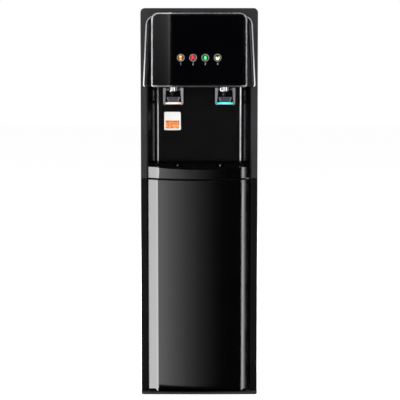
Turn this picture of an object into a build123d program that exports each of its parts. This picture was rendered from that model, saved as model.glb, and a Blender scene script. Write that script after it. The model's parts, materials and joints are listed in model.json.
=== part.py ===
from build123d import *
import os
from math import atan2, cos, degrees, radians, sin, tan

os.makedirs("parts", exist_ok=True)

# Tall free-standing water dispenser with a bottle bay behind its lower door.
# Millimetres. The front faces -Y, +Z is up, the origin is on the floor at the
# centre of the width and of the depth.

# --- overall size ---
width = 313
depth = 360
height = 1040

# --- general clearances ---
seat_gap = 0.2          # between separate rigid pieces that only lie against each other
running_fit = 0.06      # radial clearance of a pin in its bore
panel_gap = 2.0         # visible gap at each side of the door and the tray front

# --- base ---
foot_stand = 1.5        # rubber showing under the plinth
foot_radius = 14
foot_height = 6
foot_inset = 34
foot_edge = 1
plinth_height = 6.5     # visible edge of the base pan
plinth_forward = 21     # how far the plinth stands in front of the columns
plinth_radius = 9
plinth_edge = 1.2       # chamfer under the plinth
pan_wall = 2.5
pan_rim = 12            # upstand inside the side panels

# --- sheet steel cabinet ---
sheet = 1.2
flange = 15             # folded edges of the side panels
rear_space = 21         # room for the condenser behind the rear panel
louvre_length = 90
louvre_slot = 3.6
louvre_pitch = 13
louvre_count = 6
louvre_x = 70
louvre_margin = 90      # from the ends of the rear panel to the rows of louvres
screw_radius = 4
screw_head = 1.8
screw_inset = 8         # from the side of the cabinet
screw_margin = 24       # from the ends of the rear panel
screw_count = 5         # on each side

# --- front mouldings ---
column_width = 18
column_depth = 12
column_proud = 0.5      # in front of the outer edges of the bevels
column_break = 3        # upper end of the lower columns, under the tray front
face_turn = 34          # degrees that the curved face has turned at its edges
bevel_width = 25.5      # bevelled strip at each side of the door and the tray
bevel_depth = 20
face_round = 1.2        # rounding of the upper edge of the curved faces
column_round = 1.5
column_step = 3         # chamfer at the inner edge of the upper columns
column_seam = 1.5       # between the lower and the upper columns
cover_height = 24       # depth of the top cover
cover_wall = 4
corner_radius = 12
rim_round = 4           # rounding of the front edge of the head and of the rear edge of the cover

# --- heights, from the top downwards: what is left is the door's ---
head_height = 209
niche_height = 213.5    # from the lower edge of the head to the top of the tray
tray_height = 29
tray_gap = 4.2          # between the tray front and the door
shelf_drop = 8          # steel shelf under the upper edge of the door
shelf_sheet = 2
shelf_flange = 14

# --- door ---
door_edge = 5           # thickness of the door at its outer edges
door_low_gap = 2        # over the plinth
undercut_height = 14    # recess under the curved face
undercut_slope = 6
undercut_depth = 36
liner_thickness = 2
liner_margin = 20
liner_panel = 4         # depth of the pressed panels of the liner
liner_panels = 3
liner_border = 12       # round each pressed panel
liner_radius = 8
hinge_inset = 6         # hinge axis from the outer edge of the door
hinge_behind = 1        # hinge axis behind the outer edges of the bevels
hinge_pin_radius = 2.5
hinge_pin_length = 9
hinge_bore_rest = 0.5   # bore past the end of the pin
hinge_seat_floor = 1    # base pan left under the lower pin
hinge_plate = 2.5
hinge_plate_gap = 1.0   # between the door and the plate of the upper hinge
hinge_plate_reach = 9   # plate of the upper hinge to the inner side of its pin
hinge_plate_round = 4
catch_width = 16
catch_depth = 16
catch_height = 30
catch_ear = 2.5
strike_width = 13
strike_margin = 5       # of the strike plate above and below the magnet
strike_thickness = 1.2
strike_gap = 0.8        # between the magnet and its strike plate

# --- head ---
pod_inset = 29.5        # from the side of the cabinet to the side of the bezel
pod_margin_top = 13     # from the top of the cabinet to the top of the bezel
pod_lean = 22           # how far the top of the fascia lies behind its lower edge
pod_radius_top = 19
pod_radius_low = 7
root_inset_low = 10.5   # foot of the flank from the side, at its lower and upper ends
root_inset_top = 19.5
root_drop = 11.5        # the foot of the flank ends this much below the bezel
board_pocket = 12
board_width = 180
board_height = 120
board_standoff = 5
board_thickness = 1.6
board_margin = 3        # round the board in its pocket
board_service = 5       # round the board in the opening behind it
standoff_radius = 3.5
standoff_inset = 8
relay_height = 6
trim_width = 4.2
trim_proud = 1.2
trim_round = 1.0
fascia_thickness = 3.2
piping_width = 4.5
piping_proud = 2.2
piping_round = 1.0
piping_behind = 5       # how far the piping runs in behind the bezel
ring_radius = 9.6
ring_width = 1.3
ring_proud = 0.3
lens_pitch = 32.3
lens_rise = 77          # from the lower edge of the head

# --- niche ---
niche_splay = 18.5      # how much each side wall closes in towards the back panel
machine_depth = 159     # from the front of the back panel to the rear panel
niche_wall = 2.5
niche_trim_inset = 5.5  # centre of the chrome strip from the corner
niche_trim_width = 6
niche_trim_proud = 3
niche_trim_round = 1.6

# --- taps ---
tap_inset = 68.5        # from the column to the axis of the tap
tap_setback = 27.2      # behind the front of the columns
tap_radius = 14.6
tap_round = 2.5
tap_drop = 13           # chrome body under the ceiling
tap_nut = 17
tap_nut_height = 7
tap_stub_radius = 5
tap_stub_height = 14
nozzle_radius = 9.5
nozzle_drop = 10
outlet_radius = 1.9
outlet_depth = 6
pivot_drop = 6          # pivot under the ceiling
pivot_radius = 1.5
pivot_boss = 3.6
pin_recess = 0.5        # end of the pin under the outer face of the arm
pin_depth = 6           # of the pin in the body
lever_half_width = 27
lever_arm = 5.5
lever_top_arm = 8
lever_thickness = 5
lever_top = 4.5         # arm above its pivot
lever_length = 45.5     # pivot to the lower edge
lever_lean = 20         # degrees, backwards
lever_radius = 7
lever_web = 2.4         # chrome web behind the coloured bar
lever_corner = 1.5
lever_flare = 4         # where the arms widen above the web
bar_height = 8.5
bar_half_width = 22
bar_round = 3
bar_edge = 0.8
bar_play = 0.5          # above and below the bar in its pocket
paddle_top = 22.5       # below the pivot, along the lever
paddle_half_top = 14
paddle_half_low = 10
paddle_thickness = 3
strut_width = 4
strut_step = 0.6        # struts behind the face of the frame

# --- drip tray ---
tray_lip_drop = 4       # the top of the tray front slopes down to the middle of its edge
tray_wall = 2.2
tray_seat = 2           # ledge that carries the grille
basin_inset = 13.5      # from the column to the side of the basin
tray_play = 1.0         # at the sides of the basin and behind it
ledge_depth = 24
ledge_front = 3.5       # rise of the front edge of the ledge over the tray
ledge_edge = 1.5        # chamfer of that edge
ledge_rise = 8
ledge_wall = 4.5
niche_floor_wall = 2.5
niche_floor_front = 10  # set back behind the front columns
grille_thickness = 3
grille_drop = 1         # top of the grille under the top of the tray
grille_slot = 3.2
grille_bar = 3.6
grille_margin = 12      # unslotted strip in front and behind
grille_radius = 4
grille_side = 11        # unslotted strip at each side
rosette_inset = 67      # from the side of the basin to the axis of a rosette
rosette_radius = 14
rosette_margin = 5.5    # between a rosette and the ends of the slots
rosette_dish = 9
rosette_height = 5
knob_radius = 4         # stud in the middle of the grille, to lift it by
knob_height = 4
knob_seat = 9

# --- inside of the cabinet ---
platform_thickness = 3
bottle_radius = 135
bottle_play = 2
guide_width = 4
guide_height = 6
compressor_side = 13.3  # from the side panel to the shell of the compressor
compressor_rear = 22.2  # from the back of the shelf to the shell
compressor_width = 140
compressor_depth = 108
compressor_height = 150
compressor_base = 10    # depth of the base plate
compressor_seam = 3     # weld flange round the shell
compressor_dome = 26
terminal_width = 40
terminal_height = 46
terminal_depth = 12
pipe_stub_radius = 4
grommet_pitch_x = 108
grommet_pitch_y = 80
grommet_radius = 9
grommet_height = 9
cold_tank_radius = 62
cold_tank_height = 160
hot_tank_radius = 48
hot_tank_height = 140
tank_spacing = 148      # between the axes of the two tanks
tank_room = 216         # from the bracket that carries the tanks to the top cover
tank_seam = 2.5
tank_dome = 16
tank_stub_height = 18
bracket_sheet = 2
bracket_flange = 24
bracket_front = 14      # behind the back panel of the niche
pump_side = 17.3        # from the side panel
pump_length = 92
pump_radius = 22
pump_foot = 6
motor_share = 0.62      # of the pump's length

# --- rear ---
condenser_tube = 2.5
condenser_wire = 0.8
condenser_runs = 12
condenser_pitch = 34
condenser_half_width = 118
condenser_drop = 46     # upper run under the level of the tank bracket
weld_gap = 0.1
wire_count = 16
wire_end = 8            # wires past the outer runs
bracket_width = 10
bracket_height = 12
switch_x = -74
switch_drop = 66        # under the top cover
switch_pitch = 26
switch_width = 14
switch_height = 21
switch_frame = 5        # depth of the frame round the rocker keys
key_gap = 0.3
# outline of a rocker key from the side: distance from the rear panel, share of its height
key_profile = [(0.6, 0), (3.2, -0.44), (7.4, -0.44), (5.6, 0), (4.8, 0.44), (2.0, 0.44)]
drain_rise = 60         # above the level of the tank bracket
drain_radius = 7.5
drain_bore = 4.5
drain_nut = 15
drain_nut_height = 3
drain_length = 9
cap_wall = 3.8
cap_rib = 1.4
gland_inset = 36.5      # from the side of the cabinet
gland_rise = 62         # above the plinth
gland_radius = 9
gland_nut = 12
gland_bore = 3.8
gland_nut_height = 4
gland_length = 8

# --- probe of the bottle bay ---
probe_side = 33.3       # from the side panel
probe_rear = 33         # from the rear panel
probe_radius = 9
probe_cap_radius = 24
probe_cap_height = 22
probe_cap_round = 3
probe_tip = 4
probe_room = 60         # from the cap to the shelf
probe_stand = 36.8      # from the platform to the tip
barb_radius = 5
barb_length = 14
clip_height = 40
clip_reach = 14         # past the axis of the probe
clip_half = 20
clip_round = 6
clip_fit = 0.1

# --- derived planes ---
half = width / 2
front = -depth / 2
back = depth / 2
column_inner = half - column_width
door_half = column_inner - panel_gap
arc_half = door_half - bevel_width
door_bulge = arc_half * tan(radians(face_turn / 2))
arc_edge = front + door_bulge                   # Y of the edges of the curved face
bevel_edge = arc_edge + bevel_depth             # Y of the outer edges of the bevels
door_back = bevel_edge + door_edge
column_front = bevel_edge - column_proud
column_back = column_front + column_depth
head_low = height - head_height                 # lower edge of the head
tray_top = head_low - niche_height
tray_low = tray_top - tray_height               # lower edge of the tray front
door_top = tray_low - tray_gap
shelf_level = door_top - shelf_drop             # top of the steel shelf over the bottle bay
rear_face = back - rear_space                   # outer face of the rear panel
plinth_top = foot_stand + plinth_height
panel_top = height - cover_height
lower_column_top = tray_low - column_break
upper_column_low = lower_column_top + column_seam
door_low = plinth_top + door_low_gap
catch_level = (door_low + door_top) / 2
hinge_x = door_half - hinge_inset
hinge_y = bevel_edge + hinge_behind
pod_half_width = half - pod_inset
pod_root_low = half - root_inset_low            # half width of the foot of the flank
pod_root_top = half - root_inset_top
pod_top = height - pod_margin_top
pod_height = pod_top - head_low
pod_tilt = degrees(atan2(pod_lean, pod_height))
root_top = pod_top - root_drop
ceiling = head_low                              # of the niche
niche_back = rear_face - machine_depth          # front face of the back panel
tap_x = column_inner - tap_inset
tap_y = column_front + tap_setback
pivot_level = ceiling - pivot_drop
inner_half = half - sheet                       # inner faces of the side panels
tank_level = panel_top - tank_room              # top of the bracket that carries both tanks
drain_level = tank_level + drain_rise
switch_level = panel_top - switch_drop
gland_x = -half + gland_inset
gland_level = plinth_top + gland_rise

written = []


def keep(piece, name):
    # labels a finished piece and writes its file
    part = piece.part if isinstance(piece, BuildPart) else piece
    part.label = name
    export_step(part, f"parts/{name}.step")
    written.append(name)


def keep_pair(piece, name):
    # a left piece and its mirror image on the right, as two solids of one node
    keep(Part() + [piece.part, mirror(piece.part, about=Plane.YZ)], name)


def level(z):
    # horizontal plane
    return Plane.XY.offset(z)


def facing(y):
    # vertical plane that looks to the front, local Y up
    return Plane.XZ.offset(-y)


def sideways(x):
    # vertical plane that looks to +X, local X to the rear and local Y up
    return Plane.YZ.offset(x)


def front_outline(rear_y):
    # plan of the curved front: arc, two bevels and a straight back
    arc = ThreePointArc((-arc_half, arc_edge), (0, front), (arc_half, arc_edge))
    Polyline(
        arc @ 1,
        (door_half, bevel_edge),
        (door_half, rear_y),
        (-door_half, rear_y),
        (-door_half, bevel_edge),
        arc @ 0,
    )


# ---------------------------------------------------------------- base
plinth_front = column_front - plinth_forward
foot_x = half - foot_inset
foot_places = [
    (x, y) for x in (-foot_x, foot_x) for y in (column_front + foot_inset, rear_face - foot_inset)
]
rim_width = width - 2 * (sheet + seat_gap)
rim_front = column_back + sheet + 2 * seat_gap
rim_back = rear_face - 2 * sheet - 2 * seat_gap
rim_depth = rim_back - rim_front
rim_middle = (rim_back + rim_front) / 2

with BuildPart() as base_pan:
    with BuildSketch(level(foot_stand)):
        with Locations((0, (rear_face + plinth_front) / 2)):
            RectangleRounded(width, rear_face - plinth_front, plinth_radius)
    extrude(amount=plinth_height)
    chamfer(base_pan.faces().sort_by(Axis.Z)[0].outer_wire().edges(), plinth_edge)
    # upstand that the sheet steel closes round
    with BuildSketch(level(plinth_top)):
        with Locations((0, rim_middle)):
            Rectangle(rim_width, rim_depth)
            Rectangle(rim_width - 2 * pan_wall, rim_depth - 2 * pan_wall, mode=Mode.SUBTRACT)
    extrude(amount=pan_rim)
    # pockets for the feet
    with BuildSketch(level(foot_stand)):
        with Locations(*foot_places):
            Circle(foot_radius + seat_gap)
    extrude(amount=foot_height - foot_stand, mode=Mode.SUBTRACT)
    # seat of the lower hinge pin
    with BuildSketch(level(plinth_top)):
        with Locations((hinge_x, hinge_y)):
            Circle(hinge_pin_radius + running_fit)
    extrude(amount=hinge_seat_floor - plinth_height, mode=Mode.SUBTRACT)
keep(base_pan, "base_pan")

with BuildPart() as rubber_feet:
    with BuildSketch():
        with Locations(*foot_places):
            Circle(foot_radius)
    extrude(amount=foot_height)
    chamfer(rubber_feet.edges().group_by(Axis.Z)[0], foot_edge)
keep(rubber_feet, "rubber_feet")

# ---------------------------------------------------------------- sheet steel
panel_low = plinth_top + seat_gap
panel_high = panel_top - seat_gap
with BuildPart() as side_panel:
    with BuildSketch(level(panel_low)):
        with BuildLine():
            Polyline(
                (-half + flange, column_back + seat_gap),
                (-half, column_back + seat_gap),
                (-half, rear_face - sheet - seat_gap),
                (-half + flange, rear_face - sheet - seat_gap),
                (-half + flange, rear_face - 2 * sheet - seat_gap),
                (-inner_half, rear_face - 2 * sheet - seat_gap),
                (-inner_half, column_back + sheet + seat_gap),
                (-half + flange, column_back + sheet + seat_gap),
                close=True,
            )
        make_face()
    extrude(amount=panel_high - panel_low)
keep_pair(side_panel, "side_panels")

louvre_rows = [panel_low + louvre_margin, panel_high - louvre_margin]
with BuildPart() as rear_panel:
    with BuildSketch(facing(rear_face)):
        with Locations((0, (panel_low + panel_high) / 2)):
            Rectangle(width - 2 * seat_gap, panel_high - panel_low)
        with Locations(*[(x, z) for x in (-louvre_x, louvre_x) for z in louvre_rows]):
            with GridLocations(1, louvre_pitch, 1, louvre_count):
                SlotOverall(louvre_length, louvre_slot, mode=Mode.SUBTRACT)
        with Locations((gland_x, gland_level)):
            Circle(gland_bore, mode=Mode.SUBTRACT)
        with Locations((0, drain_level)):
            Circle(drain_bore, mode=Mode.SUBTRACT)
    extrude(amount=sheet)
keep(rear_panel, "rear_panel")

screw_pitch = (panel_high - panel_low - 2 * screw_margin) / (screw_count - 1)
screw_x = half - screw_inset
with BuildPart() as rear_screws:
    with BuildSketch(facing(rear_face)):
        with Locations((0, (panel_low + panel_high) / 2)):
            with GridLocations(2 * screw_x, screw_pitch, 2, screw_count):
                Circle(screw_radius)
    extrude(amount=-screw_head)
    chamfer(rear_screws.edges().group_by(Axis.Y)[-1], screw_head / 2)
keep(rear_screws, "rear_screws")

cover_depth = rear_face - column_back - seat_gap
with BuildPart() as top_cover:
    with BuildSketch(facing(rear_face)):
        with BuildLine():
            rim = FilletPolyline(
                (-half, panel_top), (-half, height), (half, height), (half, panel_top), radius=corner_radius
            )
            Line(rim @ 1, rim @ 0)
        make_face()
    extrude(amount=cover_depth)
    fillet(top_cover.faces().sort_by(Axis.Y)[-1].edges().sort_by(Axis.Z)[1:], rim_round)
    # hollow underneath
    with BuildSketch(level(panel_top)):
        with Locations((0, (rear_face + column_back) / 2)):
            Rectangle(width - 2 * corner_radius, cover_depth - 2 * corner_radius)
    extrude(amount=cover_height - cover_wall, mode=Mode.SUBTRACT)
keep(top_cover, "top_cover")

shelf_half = inner_half - seat_gap
shelf_front = column_back + sheet + 2 * seat_gap
shelf_back = rear_face - 2 * sheet - 2 * seat_gap
with BuildPart() as mid_shelf:
    with BuildSketch(facing(shelf_back)):
        with BuildLine():
            Polyline(
                (-shelf_half, shelf_level - shelf_flange),
                (-shelf_half, shelf_level),
                (shelf_half, shelf_level),
                (shelf_half, shelf_level - shelf_flange),
                (shelf_half - shelf_sheet, shelf_level - shelf_flange),
                (shelf_half - shelf_sheet, shelf_level - shelf_sheet),
                (-shelf_half + shelf_sheet, shelf_level - shelf_sheet),
                (-shelf_half + shelf_sheet, shelf_level - shelf_flange),
                close=True,
            )
        make_face()
    extrude(amount=shelf_back - shelf_front)
keep(mid_shelf, "mid_shelf")

# ---------------------------------------------------------------- front columns
with BuildPart() as lower_column:
    with BuildSketch(level(panel_low)):
        with Locations((-half + column_width / 2, (column_front + column_back) / 2)):
            Rectangle(column_width, column_depth)
    extrude(amount=lower_column_top - panel_low)
    fillet(lower_column.edges().filter_by(Axis.Z).group_by(Axis.Y)[0], column_round)
keep_pair(lower_column, "lower_columns")

with BuildPart() as upper_column:
    with BuildSketch(level(upper_column_low)):
        with Locations((-half + column_width / 2, (column_front + column_back) / 2)):
            Rectangle(column_width, column_depth)
    extrude(amount=head_low - upper_column_low - seat_gap)
    front_edges = upper_column.edges().filter_by(Axis.Z).group_by(Axis.Y)[0].sort_by(Axis.X)
    fillet(front_edges[0], column_round)
    chamfer(front_edges[-1], column_step)
keep_pair(upper_column, "upper_columns")

# ---------------------------------------------------------------- head
head_middle = head_low + pod_height / 2
with BuildPart() as head_frame:
    with BuildSketch(facing(column_back)):
        with BuildLine():
            rim = FilletPolyline(
                (-half, head_low), (-half, height), (half, height), (half, head_low), radius=corner_radius
            )
            Line(rim @ 1, rim @ 0)
        make_face()
        # service opening behind the pod
        with Locations((0, head_middle)):
            Rectangle(
                board_width + 2 * board_service, board_height + 2 * board_service, mode=Mode.SUBTRACT
            )
    extrude(amount=column_depth)
    fillet(head_frame.faces().sort_by(Axis.Y)[0].outer_wire().edges().sort_by(Axis.Z)[1:], rim_round)
keep(head_frame, "head_frame")


def pod_outline(half_low, half_top, low, high):
    # trapezoid with small corners below and large ones above
    corners = [(-half_low, low), (-half_top, high), (half_top, high), (half_low, low)]
    radii = (pod_radius_low, pod_radius_top, pod_radius_top, pod_radius_low)
    return FilletPolyline(*corners, radius=radii, close=True)


fascia_height = pod_height / cos(radians(pod_tilt))
fascia_plane = Plane(
    origin=(0, front + trim_proud, head_low),
    x_dir=(1, 0, 0),
    z_dir=(0, -cos(radians(pod_tilt)), sin(radians(pod_tilt))),
)
pod_face = fascia_plane.offset(-fascia_thickness)
seated_face = pod_face.offset(seat_gap)
pod_root = facing(column_front - seat_gap)

with BuildPart() as head_pod:
    with BuildSketch(pod_root):
        with BuildLine():
            pod_outline(pod_root_low, pod_root_top, head_low, root_top)
        make_face()
    with BuildSketch(pod_face):
        with BuildLine():
            pod_outline(pod_half_width, pod_half_width, 0, fascia_height)
        make_face()
    loft()
    # pocket for the control board, open to the service opening of the head frame
    with BuildSketch(pod_root):
        with Locations((0, head_middle)):
            Rectangle(board_width + 2 * board_margin, board_height + 2 * board_margin)
    extrude(amount=board_pocket, mode=Mode.SUBTRACT)
keep(head_pod, "head_pod")

with BuildPart() as fascia_trim:
    with BuildSketch(seated_face):
        with BuildLine():
            pod_outline(pod_half_width, pod_half_width, 0, fascia_height)
        make_face()
        offset(amount=-trim_width, kind=Kind.INTERSECTION, mode=Mode.SUBTRACT)
    extrude(amount=fascia_thickness + trim_proud - seat_gap)
    fillet(fascia_trim.faces().sort_by(Axis.Y)[0].edges(), trim_round)
keep(fascia_trim, "fascia_trim")

lens_height = lens_rise / cos(radians(pod_tilt))
lens_places = [((i - 1.5) * lens_pitch, lens_height) for i in range(4)]
with BuildPart() as control_fascia:
    with BuildSketch(seated_face):
        with BuildLine():
            pod_outline(pod_half_width, pod_half_width, 0, fascia_height)
        make_face()
        offset(amount=-trim_width - seat_gap, kind=Kind.INTERSECTION, mode=Mode.REPLACE)
        with Locations(*lens_places):
            Circle(ring_radius + running_fit, mode=Mode.SUBTRACT)
    extrude(amount=fascia_thickness - seat_gap)
keep(control_fascia, "control_fascia")

with BuildPart() as indicator_rings:
    with BuildSketch(seated_face):
        with Locations(*lens_places):
            Circle(ring_radius)
            Circle(ring_radius - ring_width, mode=Mode.SUBTRACT)
    extrude(amount=fascia_thickness + ring_proud - seat_gap)
keep(indicator_rings, "indicator_rings")

for place, name in zip(lens_places, ("power", "hot", "cold", "water")):
    with BuildPart() as lens:
        with BuildSketch(seated_face):
            with Locations(place):
                Circle(ring_radius - ring_width - running_fit)
        extrude(amount=fascia_thickness - seat_gap)
    keep(lens, f"{name}_lens")

board_rear = column_front - seat_gap - board_pocket + board_standoff
with BuildPart() as control_board:
    with BuildSketch(facing(board_rear)):
        with Locations((0, head_middle)):
            Rectangle(board_width, board_height)
    extrude(amount=board_thickness)
    # stand-offs to the floor of the pocket
    with BuildSketch(facing(board_rear - board_thickness)):
        with Locations((0, head_middle)):
            with GridLocations(board_width - 2 * standoff_inset, board_height - 2 * standoff_inset, 2, 2):
                Circle(standoff_radius)
    extrude(amount=board_standoff - board_thickness - seat_gap)
    # relays and transformer on the rear face
    with BuildSketch(facing(board_rear)):
        with Locations((-board_width / 3, head_middle), (-board_width / 9, head_middle)):
            Rectangle(board_width / 6, board_height / 6)
        with Locations((board_width / 4, head_middle)):
            Rectangle(board_width / 3, board_height / 3)
    extrude(amount=-relay_height)
keep(control_board, "control_board")

# chrome piping round the foot of the pod: up each side and round the upper corners
piping_inner = pod_half_width - piping_behind
with BuildPart() as piping:
    with BuildSketch(pod_root) as band:
        with BuildLine():
            pod_outline(pod_root_low, pod_root_top, head_low, root_top)
        make_face()
        offset(amount=piping_width + seat_gap, mode=Mode.REPLACE)
        with BuildSketch(mode=Mode.SUBTRACT):
            with BuildLine():
                pod_outline(pod_root_low, pod_root_top, head_low, root_top)
            make_face()
            offset(amount=1.5 * seat_gap, mode=Mode.REPLACE)
        with Locations((-(half + piping_inner) / 2, head_low + pod_height)):
            Rectangle(half - piping_inner, 2 * pod_height, mode=Mode.INTERSECT)
    extrude(amount=piping_proud)
    fillet(piping.faces().sort_by(Axis.Y)[0].edges(), piping_round)
keep_pair(piping, "head_piping")

# ---------------------------------------------------------------- niche
tray_back = niche_back - ledge_depth - tray_play
wall_front = column_front + column_step
wall_low = tray_top + tray_play
ledge_top = tray_top + ledge_rise
floor_top = tray_low - seat_gap
floor_low = floor_top - niche_floor_wall
floor_half = column_inner - seat_gap
niche_back_half = column_inner - niche_splay
basin_half_width = column_inner - basin_inset
rosette_x = basin_half_width - rosette_inset
cheek_inner = basin_half_width + tray_play
floor_front = column_back + niche_floor_front

with BuildPart() as niche_wall_part:
    with BuildSketch(level(wall_low)):
        with BuildLine():
            Polyline(
                (-floor_half, wall_front),
                (-floor_half + niche_wall, wall_front),
                (-niche_back_half, niche_back - seat_gap),
                (-niche_back_half - niche_wall, niche_back - seat_gap),
                (-floor_half, column_back),
                close=True,
            )
        make_face()
    extrude(amount=ceiling - wall_low - seat_gap)
keep_pair(niche_wall_part, "niche_walls")

with BuildPart() as niche_floor:
    # plate under the tray, with a leg to the steel shelf on each side
    with BuildSketch(facing(niche_back + niche_wall)):
        with BuildLine():
            Polyline(
                (-floor_half, shelf_level + seat_gap),
                (-floor_half, tray_top),
                (-cheek_inner, tray_top),
                (-cheek_inner, floor_top),
                (cheek_inner, floor_top),
                (cheek_inner, tray_top),
                (floor_half, tray_top),
                (floor_half, shelf_level + seat_gap),
                (floor_half - niche_floor_wall, shelf_level + seat_gap),
                (floor_half - niche_floor_wall, floor_low),
                (-floor_half + niche_floor_wall, floor_low),
                (-floor_half + niche_floor_wall, shelf_level + seat_gap),
                close=True,
            )
        make_face()
    extrude(amount=niche_back + niche_wall - floor_front)
    # ledge behind the tray, rising to the back panel
    with BuildSketch(sideways(-cheek_inner)):
        with BuildLine():
            Polyline(
                (niche_back - ledge_depth, floor_low),
                (niche_back - ledge_depth, tray_top + ledge_front - ledge_edge),
                (niche_back - ledge_depth + ledge_edge, tray_top + ledge_front),
                (niche_back - seat_gap, ledge_top),
                (niche_back + niche_wall, ledge_top),
                (niche_back + niche_wall, floor_low),
                close=True,
            )
        make_face()
    extrude(amount=2 * cheek_inner)
    # hollow under the ledge
    hollow_front = niche_back - ledge_depth + niche_floor_wall
    hollow_back = niche_back + 2 * niche_wall
    with BuildSketch(sideways(-cheek_inner + niche_floor_wall)):
        with BuildLine():
            Polyline(
                (hollow_front, floor_low - niche_floor_wall),
                (hollow_front, tray_top + ledge_front - ledge_wall),
                (hollow_back, tray_top + ledge_rise - ledge_wall),
                (hollow_back, floor_low - niche_floor_wall),
                close=True,
            )
        make_face()
    extrude(amount=2 * (cheek_inner - niche_floor_wall), mode=Mode.SUBTRACT)
    # room for the side walls above the tray
    with BuildSketch(level(wall_low - seat_gap)):
        for side in (-1, 1):
            with BuildLine():
                Polyline(
                    (side * half, wall_front),
                    (side * (floor_half - niche_wall - seat_gap), wall_front),
                    (side * (niche_back_half - seat_gap), niche_back - seat_gap),
                    (side * (niche_back_half - seat_gap), hollow_back),
                    (side * half, hollow_back),
                    close=True,
                )
            make_face()
    extrude(amount=2 * ledge_rise, mode=Mode.SUBTRACT)
keep(niche_floor, "niche_floor")

with BuildPart() as niche_back_panel:
    with BuildSketch(facing(niche_back + niche_wall)):
        with Locations((0, (ledge_top + ceiling) / 2)):
            Rectangle(2 * niche_back_half, ceiling - ledge_top - 2 * seat_gap)
    extrude(amount=niche_wall)
keep(niche_back_panel, "niche_back_panel")

with BuildPart() as niche_trim:
    with BuildSketch(facing(niche_back - seat_gap)):
        with Locations((-niche_back_half + niche_trim_inset, (ledge_top + ceiling) / 2)):
            Rectangle(niche_trim_width, ceiling - ledge_top - 2 * seat_gap)
    extrude(amount=niche_trim_proud)
    fillet(niche_trim.edges().filter_by(Axis.Z).group_by(Axis.Y)[0], niche_trim_round)
keep_pair(niche_trim, "niche_trims")

with BuildPart() as niche_ceiling:
    with BuildSketch(level(ceiling)):
        with BuildLine():
            Polyline(
                (-floor_half, column_back + seat_gap),
                (floor_half, column_back + seat_gap),
                (niche_back_half + niche_wall, niche_back + niche_wall),
                (-niche_back_half - niche_wall, niche_back + niche_wall),
                close=True,
            )
        make_face()
        with Locations((-tap_x, tap_y), (tap_x, tap_y)):
            Circle(tap_radius + seat_gap, mode=Mode.SUBTRACT)
    extrude(amount=niche_wall)
keep(niche_ceiling, "niche_ceiling")

# ---------------------------------------------------------------- taps
lean = radians(lever_lean)
lever_inner = lever_half_width - lever_top_arm
nozzle_top = ceiling - tap_drop


def lever_plane(x):
    # leaning plane of a lever through its pivot, local Y up along the arms
    return Plane(
        origin=(x, tap_y, pivot_level), x_dir=(1, 0, 0), z_dir=(0, -cos(lean), -sin(lean))
    )


def tap_body(x):
    # chrome body with its flange, trunnions and the nut and stub inside the head
    with BuildPart() as body:
        with BuildSketch(level(nozzle_top)):
            with Locations((x, tap_y)):
                Circle(tap_radius)
        extrude(amount=tap_drop + niche_wall + seat_gap + tap_nut_height)
        fillet(body.edges().group_by(Axis.Z)[0], tap_round)
        with BuildSketch(level(ceiling + niche_wall + seat_gap)):
            with Locations((x, tap_y)):
                RegularPolygon(tap_nut, 6)
        extrude(amount=tap_nut_height)
        with BuildSketch(level(ceiling + niche_wall + seat_gap + tap_nut_height)):
            with Locations((x, tap_y)):
                Circle(tap_stub_radius)
        extrude(amount=tap_stub_height)
        # trunnions that carry the lever
        with BuildSketch(sideways(x - lever_inner + seat_gap)):
            with Locations((tap_y, pivot_level)):
                Circle(pivot_boss)
        extrude(amount=2 * (lever_inner - seat_gap))
        # bores for the pivot pins and for the nozzle
        with BuildSketch(sideways(x - lever_inner)):
            with Locations((tap_y, pivot_level)):
                Circle(pivot_radius + running_fit)
        extrude(amount=2 * lever_inner, mode=Mode.SUBTRACT)
    return body


def tap_nozzle(x):
    # black nozzle pressed against the end of the body
    with BuildPart() as nozzle:
        with BuildSketch(level(nozzle_top - seat_gap)):
            with Locations((x, tap_y)):
                Circle(nozzle_radius)
        extrude(amount=-nozzle_drop, taper=8)
        with BuildSketch(level(nozzle_top - seat_gap - nozzle_drop)):
            with Locations((x, tap_y)):
                Circle(outlet_radius)
        extrude(amount=outlet_depth, mode=Mode.SUBTRACT)
    return nozzle


def lever_frame(x):
    # chrome U-shaped frame with two struts that hold the paddle
    plane = lever_plane(x)
    web_top = -lever_length + bar_height
    with BuildPart() as frame:
        with BuildSketch(plane.offset(-lever_thickness / 2)):
            with BuildLine():
                FilletPolyline(
                    (-lever_half_width, lever_top),
                    (-lever_half_width, -lever_length),
                    (lever_half_width, -lever_length),
                    (lever_half_width, lever_top),
                    (lever_inner, lever_top),
                    (lever_half_width - lever_arm, web_top + lever_flare),
                    (lever_half_width - lever_arm, web_top),
                    (-lever_half_width + lever_arm, web_top),
                    (-lever_half_width + lever_arm, web_top + lever_flare),
                    (-lever_inner, lever_top),
                    radius=[lever_corner] + 2 * [lever_radius] + 7 * [lever_corner],
                    close=True,
                )
            make_face()
        extrude(amount=lever_thickness)
        # pocket in the web for the coloured bar
        with BuildSketch(plane.offset(-lever_thickness / 2 + lever_web)):
            with Locations((0, -lever_length + bar_height / 2)):
                RectangleRounded(2 * bar_half_width, bar_height + 2 * bar_play, bar_round)
        extrude(amount=lever_thickness, mode=Mode.SUBTRACT)
        # struts, converging downwards
        with BuildSketch(plane.offset(-lever_thickness / 2)):
            for side in (-1, 1):
                with BuildLine():
                    Polyline(
                        (side * paddle_half_top, -paddle_top),
                        (side * (paddle_half_top + strut_width), -paddle_top),
                        (side * (paddle_half_low + strut_width), web_top),
                        (side * paddle_half_low, web_top),
                        close=True,
                    )
                make_face()
        extrude(amount=lever_thickness - strut_step)
        # bores for the pivot pins
        with BuildSketch(sideways(x - lever_half_width)):
            with Locations((tap_y, pivot_level)):
                Circle(pivot_radius + running_fit)
        extrude(amount=2 * lever_half_width, mode=Mode.SUBTRACT)
    return frame


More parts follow.
